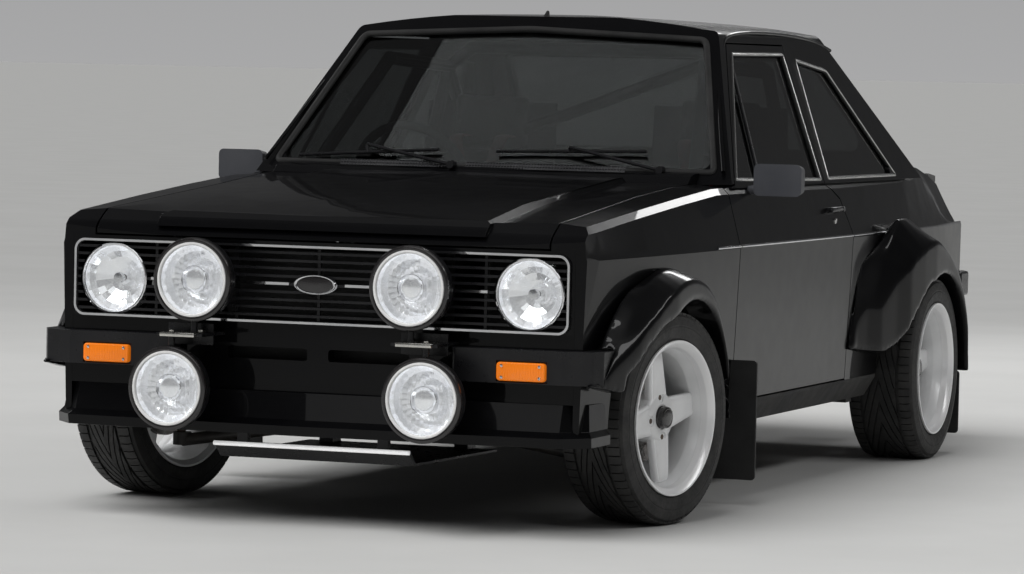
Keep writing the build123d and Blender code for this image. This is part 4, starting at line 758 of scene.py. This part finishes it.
def driving_lamp(glass=90):
    bowl = turned("bowl", (
        (0, -92), (44, -92), (47, -90), (66, -82), (84, -70), (98, -54), (107, -38), (110, -26), (110, -9),
        (106, -9), (106, -24), (100, -40), (80, -66), (44, -86), (0, -86),
    ), 72)
    rim = turned("rim", (
        (110.6, -10), (111, -8), (111, 0), (110, 3), (107, 5), (102, 5.6), (99.5, 4.6), (98.8, 2), (98.8, -9),
        (106, -10),
    ), 96, closed=True)
    band = turned("band", (
        (98.6, -8), (98.6, 4.4), (97.6, 6.2), (95, 7), (92.5, 6.4), (90.8, 4.6), (90.2, 2), (90.2, -8),
    ), 96, closed=True)
    collar = turned(
        "collar", ((37, -34), (37, -12), (36, -11), (35, -12), (35, -34), (36, -35)), 48, closed=True)
    visor = turned("visor", (
        (0, -14), (16, -14.5), (25, -17), (27, -20), (25, -21), (0, -18.5),
    ), 40)
    return (
        (bowl, satin_black, "black_trim"), (rim, cap_black, "black_trim"), (band, white_rim, "bright_trim"),
        (facet_bowl(glass, 66, 28), reflector, "bright_trim"), (collar, bright, "bright_trim"),
        (visor, reflector, "bright_trim"), (lamp_bulb(-64, 42), bulb_glass, "lamp_glass"),
        (lamp_dome(glass, 11), clear_lens, "lamp_glass"),
    )


def headlamp(glass=88):
    bowl = turned("bowl", (
        (0, -80), (40, -80), (62, -72), (82, -56), (94, -36), (96.5, -20), (96.5, -6), (92, -6), (91, -34),
        (76, -54), (38, -74), (0, -74),
    ), 72)
    rim = turned("rim", (
        (96.6, -7), (97, -5), (97, 0), (95.5, 4), (92.5, 5.6), (90, 5), (88.5, 2.5), (88.5, -6), (92, -7),
    ), 96, closed=True)
    stalk = turned("stalk", ((0, -20), (13, -21), (15, -24), (15, -34), (13, -36), (0, -36)), 32)
    return (
        (bowl, satin_black, "black_trim"), (rim, bright, "bright_trim"),
        (facet_bowl(glass, 58, 22), reflector, "bright_trim"), (stalk, bright, "bright_trim"),
        (lamp_bulb(-56, 36), bulb_glass, "lamp_glass"),
        (lamp_dome(glass, 10), plain_lens, "lamp_glass"),
    )


for kind, parts, spots in (
    ("driving_lamp", driving_lamp(), ((307, -694, 642), (360, -724, 356))),
    ("headlamp", headlamp(), ((593, -566, 631),)),
):
    stands_for = {"bowl": f"{kind}s", "glass": "lamp_glasses"}
    for piece, finish, slot in parts:
        part = piece.name.split(".")[0]
        copies = [copied(piece, part, facing(sign * x, y, z)) for x, y, z in spots for side, sign in SIDES]
        whole = joined(f"{kind}_{part}", *copies)
        given(whole, finish, node=stands_for.get(part))
        discarded(piece)

# Indicators: a rounded amber lens in a thin black frame, held by four screws
for side, x in (("left", 590), ("right", -590)):
    lens = block(f"indicator_lens_{side}", (x - 67, -621, 410), (x + 67, -597, 458))
    pick(lens, lambda a, b: abs(a.x - b.x) < NEAR and abs(a.z - b.z) < NEAR, "EDGE")
    bpy.ops.mesh.bevel(offset=0.009, segments=4)
    done()
    softened(lens, 4, 3, 40, 40)
    given(lens, amber_lens, node="indicators")
    tray = block(f"indicator_tray_{side}", (x - 69.6, -606, 407.4), (x + 69.6, -596.5, 460.6), 2)
    given(tray, moulded)
    screw = turned("screw", ((0, 0), (4.2, 0), (4.2, 1.2), (3.2, 2.2), (1.0, 2.4), (0, 1.6)), 16)
    screws = [copied(screw, "screw", facing(x + dx, -621, 434 + dz)) for dx in (-52, 52) for dz in (-15, 15)]
    given(joined(f"indicator_screws_{side}", *screws), bright)
    discarded(screw)

# Tail lamps: three lenses side by side on a bright base
for side, sign in SIDES:
    for part, low, high, finish, slot in (
        ("turn", 579, 628, amber_lens, "amber_lens"), ("stop", 513, 577, red_lens, "red_lens"),
        ("reverse", 462, 511, clear_lens, "lamp_glass"),
    ):
        ends = sorted((sign * low, sign * high))
        lens = block(f"tail_{part}_{side}", (ends[0], 3240, 616), (ends[1], 3258, 728), 5, 3)
        given(lens, finish, node="tail_lamps")
    ends = sorted((sign * 460.5, sign * 629.5))
    tray = block(f"tail_tray_{side}", (ends[0], 3205, 612.5), (ends[1], 3244, 731.5), 2)
    given(tray, bright)


# Bright trim, seals, handles and other small things outside

def corner_points(corners, cut):
    """The corners with a point before and after each, at the cut, and one half-way along each side."""
    points = []
    for before, corner, after in zip(corners[-1:] + corners[:-1], corners, corners[1:] + corners[:1]):
        before, corner, after = Vector(before), Vector(corner), Vector(after)
        points += [(before + corner) / 2, corner + (before - corner).normalized() * cut, corner,
                   corner + (after - corner).normalized() * cut]
    return points


def cabin_side(z, out=0.0):
    """The x of the cabin's left side at a height."""
    (low_x, low_z), (high_x, high_z) = (738, 888), (563, 1333)
    return low_x - (z - low_z) * (low_x - high_x) / (high_z - low_z) + out


def on_screen(foot, head, facing_back=False):
    """A finder of points on a bowed screen's outer face, its plane through foot and head (y, z)."""
    rise = Vector((0, head[0] - foot[0], head[1] - foot[1])).normalized()
    outwards = Vector((0, rise.z, -rise.y)) * (1 if facing_back else -1)

    def found(x, z, out):
        bow = SCREEN_BOW * (1 - (x / SCREEN_HALF) ** 2) + out
        step = (z - foot[1] - outwards.z * bow) / rise.z
        return Vector((x, *foot)) + rise * step + outwards * bow

    return found


SCREEN_BOW, SCREEN_HALF = 50, 640

# Crease strips along the sides
CREASE = (
    (394, 783.6), (492, 785), (598, 785.4), (604, 785.4), (760, 786), (1700, 786), (1710, 785.9),
    (1716, 785.8), (2121, 780.6),
)
for name, start, end, on_doors in (
    ("crease_strip_wing", 394, 598, False), ("crease_strip_door", 604, 1710, True),
    ("crease_strip_quarter", 1716, 2121, False),
):
    points = [(x - 0.4, y, 728) for y, x in CREASE if start <= y <= end]
    both(wire(name, points, 4.6, 4, curved=False), bright, on_doors)

# Bright edging round the side windows, and the divider of the quarterlight
for name, corners, cut, on_doors in (
    ("door_window_edge", ((716, 911), (1526, 899), (1579, 1271), (1080, 1268)), 16, True),
    ("quarter_window_edge", ((1606, 901), (2349, 901), (1978, 1226), (1690, 1256)), 26, False),
):
    outline = [(cabin_side(z, 1.0), y, z) for y, z in corner_points(corners, cut)]
    both(wire(name, outline, 3.4, 3, cyclic=True), aluminium, on_doors)
    seal = [(cabin_side(z, -3.0), y, z) for y, z in corner_points(corners, cut + 6)]
    both(wire(name.replace("edge", "seal"), seal, 6.5, 3, cyclic=True), rubber, on_doors)
run = [(cabin_side(z, -1.5), y, z) for y, z in ((936, 912), (990, 1066), (1043, 1222))]
divider = wire("quarterlight_divider", run, 6.0, 3, curved=False)
both(divider, satin_black, True)

# Gutter along the roof's edge, down the screen pillar and back to the rear one
gutter = wire("gutter", [
    (706, 668, 934), (660, 770, 1050), (608, 905, 1180), (571, 1040, 1300), (566, 1120, 1328),
    (565, 1400, 1337), (565, 1800, 1330), (566, 2020, 1312), (578, 2110, 1290),
], 5.5, 3)
both(gutter, paint)

# Rubber seals of the two screens
for name, corners, cut, put in (
    ("windscreen", ((-676, 929), (676, 929), (536, 1307), (0, 1330), (-536, 1307)), 40,
     on_screen((630, 888), (1052, 1340))),
    ("rear_screen", ((-600, 962), (600, 962), (505, 1262), (-505, 1262)), 60,
     on_screen((2640, 908), (2104, 1268), True)),
):
    outline = corner_points(corners, cut)
    seal = wire(f"{name}_seal", [put(x, z, -1) for x, z in outline], 10, 3, cyclic=True)
    given(seal, rubber)

# Door handles: a lever on two feet with its button
lever = block("door_handle", (768, 1500, 803), (784, 1612, 818), 5, 3)
button = turned("button", ((0, 0), (8, 0), (8, 16), (6.5, 18), (0, 18)), 24)
moved(button, at(764, 1628, 810, 90, "Y"))
feet = [block("foot", (756, y, 804), (772, y + 16, 817), 2) for y in (1502, 1594)]
both(joined("door_handle", lever, button, *feet), satin_black, True)
lock = turned("door_lock", ((0, 0), (9, 0), (9, 3), (7, 4.5), (2, 4.5), (0, 3.5)), 24)
moved(lock, at(772, 1560, 776, 98, "Y"))
both(lock, aluminium, True)

# Slotted air intakes at the foot of the windscreen
for name, low, high in (("left_intake", -51, 435), ("right_intake", -440, -97)):
    only()
    spot = place((low + high) / 2, 606, 932)
    slots = int((high - low) / 9)
    bpy.ops.mesh.primitive_grid_add(x_subdivisions=slots, y_subdivisions=2, size=1, location=spot)
    bpy.ops.transform.resize(value=((high - low) / 1000, 0.021, 1))
    intake = added(name)
    opened(intake, "FACE")
    bpy.ops.mesh.extrude_region_move(TRANSFORM_OT_translate={"value": (0, 0, 0.003)})
    done()
    close_up(intake)
    pick(intake, lambda spot, normal: normal.z > 0.9)
    bpy.ops.mesh.inset(thickness=0.0018, depth=-0.0022, use_individual=True)
    done()
    moved(intake, about(spot, spun(52, "X")))
    given(smooth(intake, 20), moulded)

# Stub of the aerial at the front of the roof
stub = turned(
    "aerial", ((0, -4), (17, -4), (17, 1), (15, 4), (11, 10), (7, 20), (5, 28), (3, 31), (0, 32)), 32)
moved(stub, at(0, 1105, 1359, -30, "X"))
given(stub, rubber)

# Badge: a bare dark oval in a bright ring
ring = turned("badge_ring", (
    (60, 0), (60, 4), (58.5, 6), (55, 6.4), (52, 5), (51, 2), (51, 0),
), 64, closed=True)
oval = turned("badge_field", ((0, -2), (52, -2), (52, 2), (30, 3.4), (0, 4)), 64)
for piece, finish, slot in ((ring, bright, "bright_trim"), (oval, cap_black, "black_trim")):
    moved(piece, facing(-2, -584.5, 636) @ Matrix.Diagonal((1, 0.42, 1, 1)))
    given(piece, finish)

# The exhaust's rolled tip
tip = turned("exhaust_tip", (
    (23, 0), (24.5, 2), (24.5, 60), (23.5, 62), (21.5, 61), (20.5, 58), (20.5, 2), (21, 0),
), 40, closed=True)
moved(tip, at(300, 3132, 188, -90, "X"))
given(tip, bright)

# Plated straps, bolts and washers on the lamp brackets
bolts = []
for sign in (1, -1):
    low, high = sorted((sign * 284, sign * 384))
    bolts.append(block("strap", (low, -726, 492), (high, -650, 503.5), 2))
    for x, y, z in ((307, -676, 501), (360, -700, 501), (300, -648, 501)):
        bolt = turned(
            "bolt", ((0, 0), (11, 0), (11, 1.5), (7, 1.6), (7, 7), (5.5, 8), (0, 8)), 6 if x < 305 else 20)
        bolts.append(moved(bolt, at(sign * x, y, z)))
given(joined("bracket_bolts", *bolts), zinc)

# Bright front edge of the sump guard: a near-white strip whose glow is painted light, a painted highlight
edge = wire("guard_edge", [(-279, -599, 208), (279, -599, 208)], 6.0, 4, curved=False)
given(edge, edge_silver_painted_glow)

# Mirror glasses, which look rearwards
for side, sign in SIDES:
    glass = block(f"mirror_glass_{side}", (sign * 834 - 58, 830, 877), (sign * 834 + 58, 833, 947), 1.2)
    given(glass, mirror_face, f"{side}_door")


# Cabin: padded seats, harnesses, instruments, controls and door cards

def swollen(piece, pressure=4.0, most=0.010, voxel=0.0085, frames=20):
    """Inflates a closed pad as sewn cloth over foam, by at most a little, then softens it once."""
    worked(piece, "REMESH", mode="VOXEL", voxel_size=voxel)
    before = [point.co.copy() for point in piece.data.vertices]
    cloth = piece.modifiers.new("Cloth", "CLOTH")
    cloth.settings.use_pressure = True
    cloth.settings.uniform_pressure_force = pressure
    cloth.settings.effector_weights.gravity = 0
    cloth.point_cache.frame_start, cloth.point_cache.frame_end = 1, frames
    for number in range(1, frames + 1):
        bpy.context.scene.frame_set(number)
    only(piece)
    bpy.ops.object.modifier_apply(modifier=cloth.name)
    bpy.context.scene.frame_set(1)
    for point, start in zip(piece.data.vertices, before):
        shift = point.co - start
        if shift.length > most:
            point.co = start + shift * (most / shift.length)
    worked(piece, "SUBSURF", levels=1, render_levels=1)
    bpy.ops.object.shade_smooth()
    return piece


SEAT_X, SEAT_FOOT = 372, place(0, 1500, 430)


def pad(name, low, high, lean, width=22):
    """A rounded block that leans back about the seat's foot."""
    piece = block(name, low, high, width, 3)
    return moved(piece, about(SEAT_FOOT, spun(-lean, "X"))) if lean else piece


for name, low, high, lean, finish in (
    ("seat_cushion", (-172, 1140, 385), (172, 1478, 452), 0, seat_cloth),
    ("seat_backrest", (-168, 1512, 470), (168, 1578, 930), 9, seat_cloth),
    ("seat_headrest", (-128, 1520, 962), (128, 1574, 1150), 9, seat_cloth),
    ("seat_thigh_left", (158, 1160, 372), (224, 1440, 484), 0, seat_side),
    ("seat_thigh_right", (-224, 1160, 372), (-158, 1440, 484), 0, seat_side),
    ("seat_side_left", (156, 1462, 500), (224, 1570, 900), 9, seat_side),
    ("seat_side_right", (-224, 1462, 500), (-156, 1570, 900), 9, seat_side),
):
    model = swollen(pad(name, low, high, lean))
    for side, sign in SIDES:
        piece = copied(model, f"{side}_{name}", Matrix.Translation((sign * SEAT_X / 1000, 0, 0)))
        given(piece, finish, node="seats")
    discarded(model)

for side, sign in SIDES:
    x = sign * SEAT_X
    shell = block(f"{side}_seat_shell", (x - 226, 1480, 250), (x + 226, 1500, 470), 6)
    backing = pad("backing", (x - 214, 1586, 430), (x + 214, 1600, 1120), 5, 10)
    base = block("base", (x - 190, 1150, 336), (x + 190, 1520, 380), 14, 3)
    runners = [block("runner", (x + dx - 14, 1180, 246), (x + dx + 14, 1540, 338), 4) for dx in (-150, 150)]
    given(joined(f"{side}_seat_shell", shell, backing, base, *runners), moulded, node="seats")
    straps = []
    for dx in (-74, 74):
        run = [(x + dx * near, y, z) for near, y, z in (
            (1, 1604, 1000), (1, 1560, 1010), (1, 1512, 985), (0.9, 1496, 800), (0.8, 1478, 620),
            (0.5, 1440, 475), (0.3, 1380, 470),
        )]
        straps.append(wire("strap", run, 3, 2))
        opened(straps[-1])
        bpy.ops.transform.resize(value=(7.5, 1, 1), center_override=place(x + dx, 1500, 800))
        done()
    given(joined(f"{side}_harness", *straps), belt_red)

# Instruments in a hooded binnacle ahead of the driver
hood = block("binnacle", (-540, 700, 884), (-200, 830, 930), 14, 3)
given(hood, dash_vinyl)
for number, (x, radius) in enumerate(((-455, 50), (-340, 50), (-258, 26))):
    face = turned("dial", ((0, 0), (radius, 0), (radius, 1.5), (0, 1.5)), 48)
    rows = [(radius + out, height) for out, height in ((0, 0), (5, 0), (5, 6), (1, 8), (0, 6))]
    ring = turned("ring", rows, 48, closed=True)
    marks = []
    for step in range(11):
        mark = block("mark", (-1, AXLE_Y + radius * 0.72, 1.4), (1, AXLE_Y + radius * 0.92, 2.2))
        marks.append(moved(mark, spun(125 - 25 * step)))
    needle = block("needle", (-1.2, AXLE_Y - 6, 3), (1.2, AXLE_Y + radius * 0.8, 4))
    moved(needle, spun(110))
    spot = at(x, 836, 850, -66, "X") @ spun(180)
    for piece, finish, slot in (
        (face, dial_face, "black_trim"), (ring, bright, "bright_trim"),
        (joined("marks", *marks), dial_marks, "black_trim"), (needle, dial_marks, "black_trim"),
    ):
        moved(piece, spot)
        piece.name = f"{piece.name.split('.')[0]}_{number}"
        given(piece, finish)

# Gear lever in its gaiter, handbrake and pedals
gaiter = turned("gaiter", ((62, 0), (60, 10), (44, 22), (40, 34), (26, 46), (22, 58), (10, 66), (0, 68)), 32)
moved(gaiter, at(0, 1010, 340))
stick = wire("gear_lever", [(0, 1010, 400), (-2, 1004, 470), (-8, 985, 560)], 6, 3)
knob = turned("knob", ((0, -22), (9, -20), (12, -8), (21, 6), (23, 16), (18, 27), (8, 32), (0, 33)), 32)
moved(knob, at(-9, 983, 572))
given(joined("gear_lever", gaiter, stick, knob), dash_vinyl)
brake = wire("handbrake", [(0, 1330, 352), (0, 1290, 400), (0, 1170, 430), (0, 1120, 436)], 9, 3)
grip = wire("grip", [(0, 1190, 427), (0, 1100, 438)], 14, 4, curved=False)
given(joined("handbrake", brake, grip), satin_black)
for number, (x, low, wide) in enumerate(((-300, 330, 24), (-375, 345, 30), (-460, 345, 30))):
    arm = wire("arm", [(x, 640, 560), (x, 690, 480), (x, 705, low + 30)], 7, 3)
    plate = block("plate", (x - wide, 700, low - 20), (x + wide, 712, low + 40), 4)
    given(joined(f"pedal_{number}", arm, plate), satin_black)

# Door cards with their pulls and winders
for name, low, high, width, finish, slot in (
    ("door_card", (664, 660, 330), (671, 1640, 850), 3, dash_vinyl, "black_trim"),
    ("door_pull", (640, 1120, 600), (665, 1400, 640), 12, moulded, "black_trim"),
    ("door_pocket", (648, 700, 350), (665, 1180, 450), 8, moulded, "black_trim"),
):
    both(block(name, low, high, width, 3), finish, True)
handle = turned("winder", ((0, 0), (20, 0), (20, 5), (9, 9), (9, 16), (0, 16)), 24)
crank = block("crank", (-6, AXLE_Y - 4, 12), (6, AXLE_Y + 92, 19), 3)
grip = turned("grip", ((0, 18), (9, 18), (10, 30), (8, 40), (0, 42)), 20)
moved(grip, Matrix.Translation((0, 0.085, 0)))
winder = joined("window_winder", handle, crank, grip)
moved(winder, at(665, 960, 560, -90, "Y"))
both(winder, bright, True)

# Carpet over the floor and the tunnel's flanks
for name, low, high in (
    ("carpet_left", (150, 600, 244.5), (650, 1840, 252)),
    ("carpet_right", (-650, 600, 244.5), (-150, 1840, 252)),
):
    given(block(name, low, high, 3), carpet)

# Under the bonnet: rocker cover with its filler, air filter, battery and hoses
rocker = block("rocker_cover", (-70, -150, 720), (70, 380, 772), 16, 3)
ribs = [block("rib", (-74, y, 726), (74, y + 8, 776), 3) for y in range(-120, 360, 60)]
given(joined("rocker_cover", rocker, *ribs), aluminium)
filler = turned("filler", ((0, 0), (30, 0), (32, 4), (32, 16), (28, 20), (0, 20)), 32)
given(moved(filler, at(0, 300, 764)), cap_black)
airbox = turned("air_filter", (
    (0, 0), (112, 0), (118, 6), (118, 14), (112, 18), (112, 44), (118, 48), (118, 56), (108, 60), (20, 62),
    (14, 70), (0, 70),
), 48)
given(moved(airbox, at(-190, 120, 712)), bright)
case = block("battery", (300, 300, 560), (430, 520, 730), 6)
posts = [moved(turned("post", ((0, 0), (9, 0), (8, 14), (0, 14)), 20), at(x, 330, 729)) for x in (330, 400)]
given(joined("battery", case, *posts), moulded)
for number, run in enumerate((
    [(60, -200, 640), (70, -300, 660), (150, -360, 690), (170, -425, 690)],
    [(-60, -200, 420), (-90, -320, 400), (-160, -380, 390), (-180, -425, 390)],
    [(-230, 200, 560), (-300, 260, 600), (-330, 420, 640), (-300, 566, 660)],
)):
    given(wire(f"hose_{number}", run, 17, 4), rubber)

# Coil springs on the struts and calipers over the front discs
RADIUS, STEPS, FOOT, RISE = 56, 48, -70, 150
spring = wire("spring", [
    (RADIUS * cos(pi * step / 4), AXLE_Y + RADIUS * sin(pi * step / 4), FOOT + RISE * step / STEPS)
    for step in range(STEPS + 1)
], 6, 2)
caliper = block("caliper", (-48, AXLE_Y + 62, -46), (48, AXLE_Y + 134, 18), 10, 3)
for side, sign in SIDES:
    lean = Vector((-sign * sin(LEAN), 0, cos(LEAN)))
    spot = place(sign * KINGPIN_X, 0, HUB_Z) + lean * 0.325
    turn = Vector((0, 0, 1)).rotation_difference(lean).to_matrix().to_4x4()
    piece = copied(spring, f"spring_{side}", Matrix.Translation(spot) @ turn)
    given(piece, spring_steel, f"knuckle_{side}")
    spot = wheel_place("front", sign, 727, 0, HUB_Z) @ Matrix.Translation((0, 0, -0.012))
    piece = copied(caliper, f"caliper_{side}", spot @ spun(180 if sign > 0 else 0))
    given(piece, iron, f"knuckle_{side}")
discarded(spring, caliper)


# Studio: camera, floor, lamps and the pale surround

def studio():
    scene = bpy.context.scene
    scene.view_settings.view_transform = "Standard"
    data = bpy.data.cameras.new("Camera")
    data.sensor_width = 36
    data.lens = 156.306
    data.clip_end = 4000
    scene.camera = camera = linked(bpy.data.objects.new("Camera", data))
    yaw, pitch, roll = 20.7223, 2.8022, 1.2197
    turn = spun(yaw) @ spun(90 - pitch, "X") @ spun(roll)
    camera.matrix_world = Matrix.Translation((4.5994, -12.5784, 1.2106)) @ turn

    only()
    bpy.ops.mesh.primitive_plane_add(size=3000, location=(0, 0, 0))
    floor = added("Floor")
    floor.data.materials.append(
        made("Pale floor", (0.57, 0.57, 0.56), (0.545, 0.545, 0.535), 0.85, 0.04, 1.5, 60, 0.2))

    # name, middle, aims at, size across and along, power in watts
    lamps = (
        ("Left_strip", (5.2, -0.6, 4.6), (0, -0.3, 0.7), 7.0, 0.9, 95),
        ("Right_strip", (-5.4, 0.2, 4.4), (0, 0.0, 0.7), 7.0, 0.9, 70),
        ("Front_strip", (0.6, -7.5, 5.0), (0, -1.6, 0.6), 8.0, 3.0, 60),
        ("Rear_strip", (0.0, 7.0, 4.2), (0, 1.8, 0.8), 4.0, 1.0, 90),
    )
    for name, spot, aim, across, along, power in lamps:
        lamp = bpy.data.lights.new(name, "AREA")
        lamp.shape = "RECTANGLE"
        lamp.size, lamp.size_y, lamp.energy = across, along, power
        holder = linked(bpy.data.objects.new(name, lamp))
        spot, aim = Vector(spot), Vector(aim)
        turn = (aim - spot).to_track_quat("-Z", "Y").to_matrix().to_4x4()
        holder.matrix_world = Matrix.Translation(spot) @ turn
    sun = bpy.data.lights.new("Soft_key", "SUN")
    sun.energy, sun.angle = 2.6, radians(55)
    holder = linked(bpy.data.objects.new("Soft_key", sun))
    holder.matrix_world = Vector((0.35, 0.55, -1)).to_track_quat("-Z", "Y").to_matrix().to_4x4()
    holder.visible_glossy = False

    world = bpy.data.worlds.new("Studio")
    scene.world = world
    world.use_nodes = True
    tree = world.node_tree
    kinds = ("TexCoord", "SeparateXYZ", "ValToRGB")
    spot, split, ramp = (tree.nodes.new("ShaderNode" + kind) for kind in kinds)
    tree.links.new(spot.outputs["Generated"], split.inputs[0])
    tree.links.new(split.outputs["Z"], ramp.inputs["Fac"])
    stops = ((0.0, 0.39), (0.02, 0.37), (0.07, 0.09), (0.35, 0.045), (1.0, 0.12))
    while len(ramp.color_ramp.elements) < len(stops):
        ramp.color_ramp.elements.new(0.5)
    for element, (height, level) in zip(ramp.color_ramp.elements, stops):
        element.position = height
        element.color = (level, level, level * 1.01, 1)
    tree.links.new(ramp.outputs["Color"], tree.nodes["Background"].inputs["Color"])


studio()
